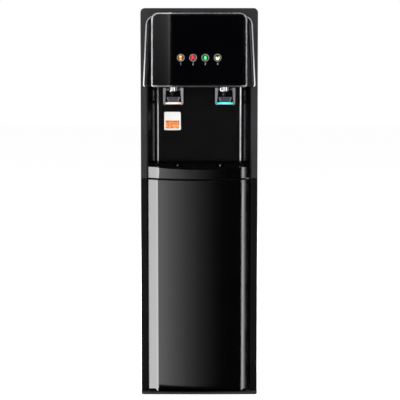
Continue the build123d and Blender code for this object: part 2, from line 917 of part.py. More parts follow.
def lever_paddle(x):
    # dark plate between the struts
    plane = lever_plane(x)
    web_top = -lever_length + bar_height
    with BuildPart() as paddle:
        with BuildSketch(plane.offset(-lever_thickness / 2)):
            with BuildLine():
                Polyline(
                    (-paddle_half_top + seat_gap, -paddle_top),
                    (paddle_half_top - seat_gap, -paddle_top),
                    (paddle_half_low - seat_gap, web_top + seat_gap),
                    (-paddle_half_low + seat_gap, web_top + seat_gap),
                    close=True,
                )
            make_face()
        extrude(amount=paddle_thickness)
    return paddle


def lever_bar(x):
    # coloured bar in the pocket of the web
    plane = lever_plane(x)
    with BuildPart() as bar:
        with BuildSketch(plane.offset(-lever_thickness / 2 + lever_web + seat_gap)):
            with Locations((0, -lever_length + bar_height / 2)):
                RectangleRounded(2 * (bar_half_width - seat_gap), bar_height, bar_round - seat_gap)
        extrude(amount=lever_thickness - lever_web)
        fillet(bar.faces().sort_by(Axis.Y)[0].outer_wire().edges(), bar_edge)
    return bar


keep_pair(tap_body(-tap_x), "tap_bodies")
keep_pair(tap_nozzle(-tap_x), "tap_nozzles")
for x, name in ((-tap_x, "hot"), (tap_x, "cold")):
    keep(lever_frame(x), f"{name}_lever")
    keep(lever_paddle(x), f"{name}_lever_paddle")
    keep(lever_bar(x), f"{name}_lever_bar")

# steel pins, two for each lever, from the arm into the body
pin_length = lever_half_width - pin_recess - tap_radius + pin_depth
with BuildPart() as pivot_pins:
    for x in (-tap_x, tap_x):
        for start in (x - lever_half_width + pin_recess, x + tap_radius - pin_depth):
            with BuildSketch(sideways(start)):
                with Locations((tap_y, pivot_level)):
                    Circle(pivot_radius)
            extrude(amount=pin_length)
keep(pivot_pins, "pivot_pins")

# ---------------------------------------------------------------- drip tray
grille_top = tray_top - grille_drop
grille_low = grille_top - grille_thickness
basin_front = door_back + seat_gap
basin_middle = (basin_front + tray_back) / 2
basin_length = tray_back - basin_front
pocket_half = basin_half_width - tray_wall
pocket_length = basin_length - 2 * tray_wall

with BuildPart() as tray_front:
    with BuildSketch(level(tray_low)):
        with BuildLine():
            front_outline(door_back)
        make_face()
    extrude(amount=tray_height)
    # top that slopes down towards the middle of the curved edge
    with BuildSketch(sideways(-arc_half)):
        with BuildLine():
            Polyline(
                (arc_edge, tray_top),
                (front - door_bulge, tray_top - 2 * tray_lip_drop),
                (front - door_bulge, tray_top + tray_lip_drop),
                (arc_edge, tray_top + tray_lip_drop),
                close=True,
            )
        make_face()
    extrude(amount=2 * arc_half, mode=Mode.SUBTRACT)
    curved_face = tray_front.faces().filter_by(GeomType.CYLINDER)[0]
    fillet(curved_face.edges().sort_by(Axis.Z)[-1], face_round)
keep(tray_front, "tray_front")

with BuildPart() as drip_tray:
    with BuildSketch(level(tray_low)):
        with Locations((0, basin_middle)):
            Rectangle(2 * basin_half_width, basin_length)
    extrude(amount=tray_height)
    # basin, narrower than the pocket of the grille, which rests on its ledge
    with BuildSketch(level(tray_low + tray_wall)):
        with Locations((0, basin_middle)):
            Rectangle(2 * (pocket_half - tray_seat), pocket_length - 2 * tray_seat)
    extrude(amount=tray_height, mode=Mode.SUBTRACT)
    with BuildSketch(level(grille_low - seat_gap)):
        with Locations((0, basin_middle)):
            RectangleRounded(2 * pocket_half, pocket_length, grille_radius)
    extrude(amount=tray_height, mode=Mode.SUBTRACT)
keep(drip_tray, "drip_tray")

grille_half = pocket_half - seat_gap
grille_length = pocket_length - 2 * seat_gap
slot_pitch = grille_slot + grille_bar
slot_rows = int((grille_length - 2 * grille_margin) / slot_pitch)
inner_slot_length = 2 * (rosette_x - rosette_radius - rosette_margin)
outer_slot_start = rosette_x + rosette_radius + rosette_margin
outer_slot_length = grille_half - grille_side - outer_slot_start
outer_slot_x = outer_slot_start + outer_slot_length / 2
with BuildPart() as drip_grille:
    with BuildSketch(level(grille_low)):
        with Locations((0, basin_middle)):
            RectangleRounded(2 * grille_half, grille_length, grille_radius - seat_gap)
            with GridLocations(0, slot_pitch, 1, slot_rows):
                SlotOverall(inner_slot_length, grille_slot, mode=Mode.SUBTRACT)
            with GridLocations(2 * outer_slot_x, slot_pitch, 2, slot_rows):
                SlotOverall(outer_slot_length, grille_slot, mode=Mode.SUBTRACT)
            Circle(knob_seat)
    extrude(amount=grille_thickness)
    with BuildSketch(level(grille_top)):
        with Locations((0, basin_middle)):
            Circle(knob_radius)
    extrude(amount=knob_height, taper=15)
    fillet(drip_grille.edges().group_by(Axis.Z)[-1], knob_radius / 4)
    # raised drain rosettes under the taps
    with BuildSketch(level(grille_top)):
        with Locations((-rosette_x, basin_middle), (rosette_x, basin_middle)):
            Circle(rosette_radius)
    extrude(amount=rosette_height, taper=25)
    # dish in each rosette
    with BuildSketch(level(grille_top + rosette_height)):
        with Locations((-rosette_x, basin_middle), (rosette_x, basin_middle)):
            Circle(rosette_dish)
    extrude(amount=-rosette_height, taper=20, mode=Mode.SUBTRACT)
keep(drip_grille, "drip_grille")

# ---------------------------------------------------------------- door
with BuildPart() as door_shell:
    with BuildSketch(level(door_low)):
        with BuildLine():
            front_outline(door_back)
        make_face()
    extrude(amount=door_top - door_low)
    # recess under the curved face, between the bevels
    with BuildSketch(sideways(-arc_half)):
        with BuildLine():
            Polyline(
                (front - panel_gap, door_low - panel_gap),
                (front - panel_gap, door_low + undercut_height),
                (front, door_low + undercut_height),
                (front + undercut_depth, door_low + undercut_height - undercut_slope),
                (front + undercut_depth, door_low - panel_gap),
                close=True,
            )
        make_face()
    extrude(amount=2 * arc_half, mode=Mode.SUBTRACT)
    curved_face = door_shell.faces().filter_by(GeomType.CYLINDER)[0]
    fillet(curved_face.edges().sort_by(Axis.Z)[-1], face_round)
    # hinge bores
    with Locations((hinge_x, hinge_y, door_low), (hinge_x, hinge_y, door_top)):
        Cylinder(
            hinge_pin_radius + running_fit, 2 * (hinge_pin_length + hinge_bore_rest), mode=Mode.SUBTRACT
        )
    rear_corners = door_shell.edges().filter_by(Axis.Z).group_by(Axis.Y)[-1]
    fillet(rear_corners, door_edge / 2)
keep(door_shell, "door_shell")

liner_half = door_half - liner_margin
liner_low = door_low + liner_margin
liner_high = door_top - liner_margin
liner_middle = (liner_low + liner_high) / 2
liner_back = door_back + seat_gap + liner_thickness
panel_pitch = (liner_high - liner_low - liner_border) / liner_panels
with BuildPart() as door_liner:
    with BuildSketch(facing(door_back + seat_gap)):
        with Locations((0, liner_middle)):
            RectangleRounded(2 * liner_half, liner_high - liner_low, liner_radius)
    extrude(amount=-liner_thickness)
    with BuildSketch(facing(liner_back)):
        with Locations((0, liner_middle)):
            with GridLocations(0, panel_pitch, 1, liner_panels):
                RectangleRounded(2 * (liner_half - liner_border), panel_pitch - liner_border, liner_border)
    extrude(amount=-liner_panel, taper=30)
keep(door_liner, "door_liner")

with BuildPart() as strike_plate:
    with BuildSketch(facing(door_back + seat_gap)):
        with Locations((-door_half + liner_margin / 2, catch_level)):
            RectangleRounded(strike_width, catch_height + 2 * strike_margin, strike_width / 6)
    extrude(amount=-strike_thickness)
keep(strike_plate, "strike_plate")

catch_front = door_back + seat_gap + strike_thickness + strike_gap
with BuildPart() as magnetic_catch:
    with BuildSketch(facing(catch_front)):
        with Locations((-column_inner + seat_gap + catch_width / 2, catch_level)):
            Rectangle(catch_width, catch_height)
    extrude(amount=-catch_depth)
    fillet(magnetic_catch.edges().filter_by(Axis.Y), catch_width / 10)
    # ear screwed behind the flange of the side panel
    with BuildSketch(facing(column_back + sheet + 2 * seat_gap)):
        with Locations((-half + flange, catch_level)):
            Rectangle(catch_width, catch_height - 2 * catch_ear)
    extrude(amount=-catch_ear)
keep(magnetic_catch, "magnetic_catch")

plate_low = door_top + hinge_plate_gap
with BuildPart() as hinge_pins:
    # lower pin with its collar
    with Locations((hinge_x, hinge_y, foot_stand + hinge_seat_floor + seat_gap)):
        Cylinder(
            hinge_pin_radius,
            plinth_height - hinge_seat_floor - seat_gap + door_low_gap + hinge_pin_length,
            align=(Align.CENTER, Align.CENTER, Align.MIN),
        )
    with Locations((hinge_x, hinge_y, plinth_top)):
        Cylinder(
            2 * hinge_pin_radius, door_low_gap - seat_gap, align=(Align.CENTER, Align.CENTER, Align.MIN)
        )
    # upper pin on its plate, which stands on the steel shelf
    with Locations((hinge_x, hinge_y, door_top - hinge_pin_length)):
        Cylinder(
            hinge_pin_radius,
            hinge_pin_length + hinge_plate_gap,
            align=(Align.CENTER, Align.CENTER, Align.MIN),
        )
    with BuildSketch(level(plate_low)):
        with BuildLine():
            plate_rear = floor_front - tray_play
            FilletPolyline(
                (hinge_x - hinge_plate_reach, plate_rear),
                (hinge_x - hinge_plate_reach, hinge_y - 2 * hinge_pin_radius),
                (hinge_x + 2 * hinge_pin_radius, hinge_y - 2 * hinge_pin_radius),
                (hinge_x + 2 * hinge_pin_radius, plate_rear),
                radius=(hinge_plate / 5, hinge_plate_round, hinge_plate_round, hinge_plate / 5),
                close=True,
            )
        make_face()
    extrude(amount=hinge_plate)
    with BuildSketch(level(shelf_level)):
        with Locations((hinge_x + hinge_pin_radius - hinge_plate_reach / 2, plate_rear - hinge_plate / 2)):
            Rectangle(hinge_plate_reach + 2 * hinge_pin_radius, hinge_plate)
    extrude(amount=plate_low - shelf_level)
keep(hinge_pins, "hinge_pins")

# ---------------------------------------------------------------- bottle bay
platform_low = plinth_top + pan_rim + seat_gap
platform_top = platform_low + platform_thickness
bottle_y = (liner_back + liner_panel + rim_back) / 2
guide_inner = bottle_radius + bottle_play
with BuildPart() as bottle_platform:
    with BuildSketch(level(platform_low)):
        with Locations((0, rim_middle)):
            Rectangle(rim_width, rim_depth)
    extrude(amount=platform_thickness)
    # rear half ring that centres the bottle
    with BuildSketch(level(platform_top)):
        with Locations((0, bottle_y)):
            Circle(guide_inner + guide_width)
            Circle(guide_inner, mode=Mode.SUBTRACT)
        with Locations((0, bottle_y + bottle_radius)):
            Rectangle(2 * rim_width, 2 * bottle_radius, mode=Mode.INTERSECT)
        with Locations((0, rim_middle)):
            Rectangle(rim_width, rim_depth, mode=Mode.INTERSECT)
    extrude(amount=guide_height)
keep(bottle_platform, "bottle_platform")

probe_x = probe_side - inner_half
probe_y = rear_face - probe_rear
probe_low = platform_top + probe_stand
probe_top = shelf_level - probe_room - probe_cap_height
with BuildPart() as suction_probe:
    with BuildSketch(level(probe_low)):
        with Locations((probe_x, probe_y)):
            Circle(probe_radius)
    extrude(amount=probe_top - probe_low)
    chamfer(suction_probe.edges().group_by(Axis.Z)[0], probe_tip)
    with BuildSketch(level(probe_top)):
        with Locations((probe_x, probe_y)):
            Circle(probe_cap_radius)
    extrude(amount=probe_cap_height)
    fillet(suction_probe.edges().group_by(Axis.Z)[-1], probe_cap_round)
    # barb for the hose
    with BuildSketch(level(probe_top + probe_cap_height)):
        with Locations((probe_x, probe_y)):
            Circle(barb_radius)
    extrude(amount=barb_length, taper=4)
keep(suction_probe, "suction_probe")

with BuildPart() as probe_clip:
    # fork under the cap, screwed to the side panel
    with BuildSketch(level(probe_top - clip_height)):
        with BuildLine():
            FilletPolyline(
                (-shelf_half, probe_y - clip_half),
                (probe_x + clip_reach, probe_y - clip_half),
                (probe_x + clip_reach, probe_y + clip_half),
                (-shelf_half, probe_y + clip_half),
                radius=(clip_round / 6, clip_round, clip_round, clip_round / 6),
                close=True,
            )
        make_face()
        with Locations((probe_x, probe_y)):
            Circle(probe_radius + clip_fit, mode=Mode.SUBTRACT)
        with Locations((probe_x, probe_y - clip_half)):
            Rectangle(1.7 * probe_radius, 2 * clip_half, mode=Mode.SUBTRACT)
    extrude(amount=clip_height - seat_gap)
keep(probe_clip, "probe_clip")

# ---------------------------------------------------------------- cooling and heating
compressor_x = inner_half - compressor_side - compressor_width / 2
compressor_y = shelf_back - compressor_rear - compressor_depth / 2
compressor_low = shelf_level + grommet_height
compressor_top = compressor_low + compressor_height
terminal_x = compressor_x - compressor_width / 2 - terminal_depth
with BuildPart() as compressor:
    with BuildSketch(level(compressor_low + compressor_base)):
        with Locations((compressor_x, compressor_y)):
            Ellipse(compressor_width / 2, compressor_depth / 2)
    extrude(amount=compressor_height - compressor_base)
    fillet(compressor.edges().group_by(Axis.Z)[-1], compressor_dome)
    # weld flange round the middle
    with BuildSketch(level(compressor_low + compressor_height / 2)):
        with Locations((compressor_x, compressor_y)):
            Ellipse(compressor_width / 2 + compressor_seam, compressor_depth / 2 + compressor_seam)
    extrude(amount=compressor_seam)
    # base plate on the grommets
    with BuildSketch(level(compressor_low + seat_gap)):
        with Locations((compressor_x, compressor_y)):
            RectangleRounded(compressor_width, compressor_depth, grommet_radius)
    extrude(amount=compressor_base)
    # terminal cover and the two stubs
    with BuildSketch(sideways(terminal_x)):
        with Locations((compressor_y, compressor_low + 2 * compressor_base + terminal_height)):
            RectangleRounded(terminal_width, terminal_height, terminal_height / 10)
    extrude(amount=2 * terminal_depth)
    with BuildSketch(level(compressor_top - compressor_dome)):
        with Locations((compressor_x, compressor_y)):
            with GridLocations(compressor_width / 3, 0, 2, 1):
                Circle(pipe_stub_radius)
    extrude(amount=1.4 * compressor_dome)
keep(compressor, "compressor")

with BuildPart() as compressor_grommets:
    with BuildSketch(level(shelf_level)):
        with Locations((compressor_x, compressor_y)):
            with GridLocations(grommet_pitch_x, grommet_pitch_y, 2, 2):
                Circle(grommet_radius)
    extrude(amount=grommet_height)
keep(compressor_grommets, "compressor_grommets")

bracket_low = tank_level - bracket_flange
bracket_under = tank_level - bracket_sheet
with BuildPart() as tank_bracket:
    with BuildSketch(facing(shelf_back)):
        with BuildLine():
            Polyline(
                (-shelf_half, bracket_low),
                (-shelf_half, tank_level),
                (shelf_half, tank_level),
                (shelf_half, bracket_low),
                (shelf_half - bracket_sheet, bracket_low),
                (shelf_half - bracket_sheet, bracket_under),
                (-shelf_half + bracket_sheet, bracket_under),
                (-shelf_half + bracket_sheet, bracket_low),
                close=True,
            )
        make_face()
    extrude(amount=shelf_back - niche_back - bracket_front)
keep(tank_bracket, "tank_bracket")


def tank(x, radius, size, inward):
    # vessel with domed ends, a waist seam and two stubs on top, one of them towards the middle
    with BuildPart() as vessel:
        with BuildSketch(level(tank_level + seat_gap)):
            with Locations((x, compressor_y)):
                Circle(radius)
        extrude(amount=size)
        fillet(vessel.edges().group_by(Axis.Z)[-1], tank_dome)
        fillet(vessel.edges().group_by(Axis.Z)[0], tank_dome / 2)
        with BuildSketch(level(tank_level + size / 2)):
            with Locations((x, compressor_y)):
                Circle(radius + tank_seam)
        extrude(amount=2 * tank_seam)
        with BuildSketch(level(tank_level + size)):
            with Locations((x, compressor_y), (x + inward * radius / 2, compressor_y)):
                Circle(pipe_stub_radius)
        extrude(amount=tank_stub_height)
    return vessel


keep(tank(tank_spacing / 2, cold_tank_radius, cold_tank_height, -1), "cold_tank")
keep(tank(-tank_spacing / 2, hot_tank_radius, hot_tank_height, 1), "hot_tank")

pump_start = pump_side - inner_half
motor_length = motor_share * pump_length
pump_axis = shelf_level + pump_foot + pump_radius
with BuildPart() as water_pump:
    with BuildSketch(sideways(pump_start)):
        with Locations((compressor_y, pump_axis)):
            Circle(pump_radius)
    extrude(amount=motor_length)
    # square pump head on the motor
    with BuildSketch(sideways(pump_start + motor_length)):
        with Locations((compressor_y, pump_axis)):
            RectangleRounded(2.2 * pump_radius, 2.2 * pump_radius, pump_radius / 4)
    extrude(amount=pump_length - motor_length)
    # foot on the shelf
    with BuildSketch(level(shelf_level + seat_gap)):
        with Locations((pump_start + pump_length / 2, compressor_y)):
            Rectangle(0.9 * pump_length, 1.5 * pump_radius)
    extrude(amount=pump_foot + pump_radius / 4)
keep(water_pump, "water_pump")

# ---------------------------------------------------------------- rear
wire_rear = back - condenser_wire
tube_y = wire_rear - condenser_wire - weld_gap - condenser_tube
wire_front = tube_y - condenser_tube - weld_gap - condenser_wire
condenser_top = tank_level - condenser_drop
run_levels = [condenser_top - i * condenser_pitch for i in reversed(range(condenser_runs))]
run_half = condenser_half_width - condenser_pitch / 2

with BuildPart() as condenser_coil:
    with BuildLine(facing(tube_y)) as coil_path:
        for i, z in enumerate(run_levels):
            side = 1 if i % 2 == 0 else -1
            Line((-side * run_half, z), (side * run_half, z))
            if z != run_levels[-1]:
                ThreePointArc(
                    (side * run_half, z),
                    (side * condenser_half_width, z + condenser_pitch / 2),
                    (side * run_half, z + condenser_pitch),
                )
    with BuildSketch(Plane(origin=coil_path.line @ 0, z_dir=coil_path.line % 0)):
        Circle(condenser_tube)
    sweep()
keep(condenser_coil, "condenser_coil")

wire_pitch = 2 * run_half / (wire_count - 1)
wire_low = run_levels[0] - wire_end
wire_high = run_levels[-1] + wire_end
with BuildPart() as condenser_wires:
    for y in (wire_front, wire_rear):
        with BuildSketch(level(wire_low)):
            with Locations((0, y)):
                with GridLocations(wire_pitch, 0, wire_count, 1):
                    RegularPolygon(condenser_wire, 6, rotation=30)
        extrude(amount=wire_high - wire_low)
keep(condenser_wires, "condenser_wires")

bracket_levels = (run_levels[1], run_levels[-2])
bracket_x = run_half - wire_pitch / 2
bracket_start = rear_face + seat_gap
bracket_end = tube_y + 1.6 * condenser_tube
with BuildPart() as condenser_brackets:
    for z in bracket_levels:
        for side in (-1, 1):
            with BuildSketch(sideways(side * bracket_x - bracket_width / 2)):
                with Locations(((bracket_start + bracket_end) / 2, z)):
                    Rectangle(bracket_end - bracket_start, bracket_height)
                with Locations((tube_y, z)):
                    Circle(condenser_tube + running_fit, mode=Mode.SUBTRACT)
            extrude(amount=bracket_width)
keep(condenser_brackets, "condenser_brackets")

with BuildPart() as switch_plate:
    with BuildSketch(facing(rear_face + seat_gap)):
        with Locations((switch_x, switch_level)):
            RectangleRounded(2.5 * switch_pitch, switch_height + switch_width, switch_width / 5)
            with GridLocations(switch_pitch, 0, 2, 1):
                Rectangle(switch_width + 2 * key_gap, switch_height + 4 * key_gap, mode=Mode.SUBTRACT)
    extrude(amount=-switch_frame)
keep(switch_plate, "switch_plate")

key_corners = [(rear_face + y, switch_level + z * switch_height) for y, z in key_profile]
for i, name in enumerate(("hot_switch", "cold_switch")):
    with BuildPart() as rocker:
        with BuildSketch(sideways(switch_x + (i - 0.5) * switch_pitch - switch_width / 2)):
            with BuildLine():
                Polyline(*key_corners, close=True)
            make_face()
        extrude(amount=switch_width)
    keep(rocker, name)

with BuildPart() as drain_spout:
    with BuildSketch(facing(rear_face + seat_gap)):
        with Locations((0, drain_level)):
            RegularPolygon(drain_nut, 6)
    extrude(amount=-drain_nut_height)
    with BuildSketch(facing(rear_face + seat_gap + drain_nut_height)):
        with Locations((0, drain_level)):
            Circle(drain_radius)
    extrude(amount=-drain_length)
    with BuildSketch(facing(rear_face)):
        with Locations((0, drain_level)):
            Circle(drain_bore)
    extrude(amount=-drain_nut_height - 2 * drain_length, mode=Mode.SUBTRACT)
keep(drain_spout, "drain_spout")

cap_start = rear_face + drain_nut_height + 2 * seat_gap
with BuildPart() as drain_cap:
    with BuildSketch(facing(cap_start)):
        with Locations((0, drain_level)):
            Circle(drain_radius + cap_wall)
            with PolarLocations(drain_radius + cap_wall, 12):
                Circle(cap_rib)
    extrude(amount=-drain_length - cap_wall)
    with BuildSketch(facing(cap_start)):
        with Locations((0, drain_level)):
            Circle(drain_radius + running_fit)
    extrude(amount=-drain_length, mode=Mode.SUBTRACT)
keep(drain_cap, "drain_cap")

with BuildPart() as cord_gland:
    with BuildSketch(facing(rear_face + seat_gap)):
        with Locations((gland_x, gland_level)):
            RegularPolygon(gland_nut, 6)
    extrude(amount=-gland_nut_height)
    with BuildSketch(facing(rear_face + seat_gap + gland_nut_height)):
        with Locations((gland_x, gland_level)):
            Circle(gland_radius)
    extrude(amount=-gland_length, taper=12)
    with BuildSketch(facing(rear_face)):
        with Locations((gland_x, gland_level)):
            Circle(gland_bore)
    extrude(amount=-gland_nut_height - 2 * gland_length, mode=Mode.SUBTRACT)
keep(cord_gland, "cord_gland")

print(len(written), "pieces")
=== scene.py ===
import bpy
import json
from math import radians
from mathutils import Matrix, Vector


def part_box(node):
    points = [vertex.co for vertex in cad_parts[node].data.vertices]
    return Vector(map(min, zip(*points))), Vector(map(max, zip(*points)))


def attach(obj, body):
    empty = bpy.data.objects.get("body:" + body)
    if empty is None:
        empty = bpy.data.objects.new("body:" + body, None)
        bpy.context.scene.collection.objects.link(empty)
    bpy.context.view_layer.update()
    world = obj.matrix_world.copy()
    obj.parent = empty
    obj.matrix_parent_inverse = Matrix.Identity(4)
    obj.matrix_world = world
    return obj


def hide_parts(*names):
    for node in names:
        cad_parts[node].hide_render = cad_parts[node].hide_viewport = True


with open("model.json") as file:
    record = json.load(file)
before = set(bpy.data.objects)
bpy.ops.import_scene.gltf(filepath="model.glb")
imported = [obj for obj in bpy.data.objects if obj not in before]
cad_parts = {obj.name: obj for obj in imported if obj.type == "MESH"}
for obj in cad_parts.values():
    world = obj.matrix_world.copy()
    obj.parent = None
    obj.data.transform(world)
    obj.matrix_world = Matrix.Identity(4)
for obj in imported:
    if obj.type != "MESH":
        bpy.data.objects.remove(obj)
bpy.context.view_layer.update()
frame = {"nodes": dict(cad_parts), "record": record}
nodes = frame["nodes"]
print("frame loaded:", len(nodes), "nodes")


# node and mesh helpers

def hexToLinear(code):  # sRGB hex to the linear values that the shaders take
    shares = [int(code[i:i + 2], 16) / 255 for i in (1, 3, 5)]
    linear = [s / 12.92 if s <= 0.04045 else ((s + 0.055) / 1.055) ** 2.4 for s in shares]
    return (*linear, 1.0)


def addNode(tree, kind, inputs=None, **settings):  # one node with its settings, values and links
    node = tree.nodes.new(kind)
    for name, value in settings.items():
        setattr(node, name, value)
    for name, value in (inputs or {}).items():
        if isinstance(value, bpy.types.NodeSocket):
            tree.links.new(value, node.inputs[name])
        else:
            node.inputs[name].default_value = value
    return node


def setRamp(node, stops):  # stops are (position, colour)
    ramp = node.color_ramp
    while len(ramp.elements) < len(stops):
        ramp.elements.new(0.5)
    for element, (position, colour) in zip(ramp.elements, stops):
        element.position = position
        element.color = colour
    return node


def newMaterial(name):
    material = bpy.data.materials.new(name)
    material.use_nodes = True
    material.node_tree.nodes.clear()
    return material, material.node_tree


def grey(value):
    return (value, value, value, 1.0)


def perMetre(millimetres):  # texture scale for a pattern of this size
    return 1000 / millimetres


def levelAlong(tree, value, stops):  # runs straight from stop to stop, (place, level)
    total = stops[0][1]
    for (start, before), (end, after) in zip(stops, stops[1:]):
        if after == before:
            continue
        change = addNode(tree, "ShaderNodeMapRange", {
            "Value": value, "From Min": start, "From Max": end,
            "To Min": 0.0, "To Max": after - before,
        })
        total = addNode(tree, "ShaderNodeMath", {
            0: total, 1: change.outputs["Result"],
        }).outputs["Value"]
    return total


def deselectAll():
    bpy.ops.object.select_all(action="DESELECT")


def pick(piece, kind, test):  # in edit mode, selects the edges or faces whose points pass the test
    bpy.ops.object.mode_set(mode="EDIT")
    bpy.ops.mesh.select_mode(type=kind)
    bpy.ops.mesh.select_all(action="DESELECT")
    bpy.ops.object.mode_set(mode="OBJECT")
    mesh = piece.data
    for item in (mesh.edges if kind == "EDGE" else mesh.polygons):
        item.select = test([mesh.vertices[i].co for i in item.vertices])
    bpy.ops.object.mode_set(mode="EDIT")


def settle(piece, name, material):  # place and size go into the mesh, and the piece gets its finish
    piece.name = name
    piece.data.materials.clear()
    piece.data.materials.append(material)
    deselectAll()
    piece.select_set(True)
    bpy.context.view_layer.objects.active = piece
    bpy.ops.object.transform_apply(location=True, rotation=True, scale=True)
    deselectAll()


# materials: moulded and coated plastics and steels

def mouldedPlastic(name, look):
    # injection-moulded skin: slight colour drift, grain from the tool, wiped patches that shine
    # less evenly, and where the tool was blasted a share of fine pits that don't shine at all
    material, tree = newMaterial(name)
    place = addNode(tree, "ShaderNodeTexCoord").outputs["Object"]
    drift = addNode(tree, "ShaderNodeTexNoise", {
        "Vector": place, "Scale": perMetre(look["driftMm"]), "Detail": 2.0,
    })
    colour = setRamp(
        addNode(tree, "ShaderNodeValToRGB", {"Fac": drift.outputs["Fac"]}),
        [(0.3, hexToLinear(look["dark"])), (0.7, hexToLinear(look["light"]))],
    )
    wiped = addNode(tree, "ShaderNodeTexNoise", {
        "Vector": place, "Scale": perMetre(look["wipeMm"]), "Detail": 3.0,
    })
    roughness = addNode(tree, "ShaderNodeMapRange", {
        "Value": wiped.outputs["Fac"], "From Min": 0.3, "From Max": 0.7,
        "To Min": look["roughness"][0], "To Max": look["roughness"][1],
    })
    grain = addNode(tree, "ShaderNodeTexNoise", {
        "Vector": place, "Scale": perMetre(look["grainMm"]), "Detail": 2.0,
    })
    bump = addNode(tree, "ShaderNodeBump", {
        "Height": grain.outputs["Fac"], "Strength": look["grainStrength"],
        "Distance": look["grainHeightMm"] / 1000,
    })
    shader = addNode(tree, "ShaderNodeBsdfPrincipled", {
        "Base Color": colour.outputs["Color"], "Roughness": roughness.outputs["Result"],
        "Normal": bump.outputs["Normal"], "IOR": look.get("ior", 1.5),
        "Coat Weight": look.get("coat", 0.0), "Coat Roughness": look.get("coatRoughness", 0.03),
    })
    skin = shader
    if "pits" in look:
        dull = addNode(tree, "ShaderNodeBsdfDiffuse", {"Color": colour.outputs["Color"]})
        skin = addNode(tree, "ShaderNodeMixShader", {
            0: look["pits"], 1: shader.outputs[0], 2: dull.outputs[0],
        })
    addNode(tree, "ShaderNodeOutputMaterial", {"Surface": skin.outputs[0]})
    return material


def platedMetal(name, look):
    # bright or brushed metal: streaks along one axis, patches of handling, and a faint waviness
    material, tree = newMaterial(name)
    place = addNode(tree, "ShaderNodeTexCoord").outputs["Object"]
    stretched = addNode(tree, "ShaderNodeMapping", {"Vector": place, "Scale": look["stretch"]})
    streak = addNode(tree, "ShaderNodeTexNoise", {
        "Vector": stretched.outputs["Vector"], "Scale": perMetre(look["streakMm"]), "Detail": 4.0,
    })
    colour = setRamp(
        addNode(tree, "ShaderNodeValToRGB", {"Fac": streak.outputs["Fac"]}),
        [(0.3, hexToLinear(look["dark"])), (0.7, hexToLinear(look["light"]))],
    )
    patch = addNode(tree, "ShaderNodeTexNoise", {
        "Vector": place, "Scale": perMetre(look["patchMm"]), "Detail": 2.0,
    })
    roughness = addNode(tree, "ShaderNodeMapRange", {
        "Value": patch.outputs["Fac"], "From Min": 0.3, "From Max": 0.7,
        "To Min": look["roughness"][0], "To Max": look["roughness"][1],
    })
    bump = addNode(tree, "ShaderNodeBump", {
        "Height": streak.outputs["Fac"], "Strength": look["streakStrength"],
        "Distance": look["streakHeightMm"] / 1000,
    })
    shader = addNode(tree, "ShaderNodeBsdfPrincipled", {
        "Base Color": colour.outputs["Color"], "Metallic": 1.0,
        "Roughness": roughness.outputs["Result"], "Normal": bump.outputs["Normal"],
    })
    addNode(tree, "ShaderNodeOutputMaterial", {"Surface": shader.outputs["BSDF"]})
    return material


def zincPlatedSheet(name, look):
    # passivated zinc on rolled sheet: angular spangle with its own tint and gloss per crystal
    material, tree = newMaterial(name)
    place = addNode(tree, "ShaderNodeTexCoord").outputs["Object"]
    spangle = addNode(tree, "ShaderNodeTexVoronoi", {
        "Vector": place, "Scale": perMetre(look["spangleMm"]),
    })
    tone = addNode(tree, "ShaderNodeSeparateColor", {"Color": spangle.outputs["Color"]})
    colour = setRamp(
        addNode(tree, "ShaderNodeValToRGB", {"Fac": tone.outputs["Red"]}),
        [(0.0, hexToLinear(look["dark"])), (1.0, hexToLinear(look["light"]))],
    )
    roughness = addNode(tree, "ShaderNodeMapRange", {
        "Value": tone.outputs["Green"], "To Min": look["roughness"][0], "To Max": look["roughness"][1],
    })
    shader = addNode(tree, "ShaderNodeBsdfPrincipled", {
        "Base Color": colour.outputs["Color"], "Metallic": 1.0, "Roughness": roughness.outputs["Result"],
    })
    addNode(tree, "ShaderNodeOutputMaterial", {"Surface": shader.outputs["BSDF"]})
    return material


def indicatorLens(name, look, node):
    # smoked polycarbonate over a lamp: a dark disc where light comes through in soft coloured spots
    material, tree = newMaterial(name)
    low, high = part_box(node)
    reach = (high.x - low.x) / 2
    place = addNode(tree, "ShaderNodeTexCoord").outputs["Object"]
    local = addNode(tree, "ShaderNodeVectorMath", {
        0: place, 1: tuple((low + high) / 2),
    }, operation="SUBTRACT")
    facet = addNode(tree, "ShaderNodeTexVoronoi", {
        "Vector": place, "Scale": perMetre(look["facetMm"]),
    })
    colour = setRamp(
        addNode(tree, "ShaderNodeValToRGB", {"Fac": facet.outputs["Distance"]}),
        [(0.0, hexToLinear(look["disc"])), (1.0, hexToLinear("#040404"))],
    ).outputs["Color"]
    for across, up, width, height, tint in look["spots"]:
        middle = (across * reach, 0.0, up * reach)
        size = (1 / (width * reach), 0.0, 1 / (height * reach))
        offset = addNode(tree, "ShaderNodeVectorMath", {
            0: local.outputs["Vector"], 1: middle,
        }, operation="SUBTRACT")
        scaled = addNode(tree, "ShaderNodeVectorMath", {
            0: offset.outputs["Vector"], 1: size,
        }, operation="MULTIPLY")
        distance = addNode(tree, "ShaderNodeVectorMath", {
            0: scaled.outputs["Vector"],
        }, operation="LENGTH")
        lit = levelAlong(tree, distance.outputs["Value"], [(0.55, 1.0), (1.1, 0.0)])  # soft rim
        colour = addNode(tree, "ShaderNodeMix", {  # 6 and 7 are its two colours
            0: lit, 6: colour, 7: hexToLinear(tint),
        }, data_type="RGBA").outputs[2]
    bump = addNode(tree, "ShaderNodeBump", {
        "Height": facet.outputs["Distance"], "Strength": 0.15, "Distance": 0.0002,
    })
    shader = addNode(tree, "ShaderNodeBsdfPrincipled", {
        "Base Color": colour, "Roughness": 0.12, "IOR": 1.58, "Normal": bump.outputs["Normal"],
        "Emission Color": colour, "Emission Strength": look["glow"],
    })
    addNode(tree, "ShaderNodeOutputMaterial", {"Surface": shader.outputs["BSDF"]})
    return material


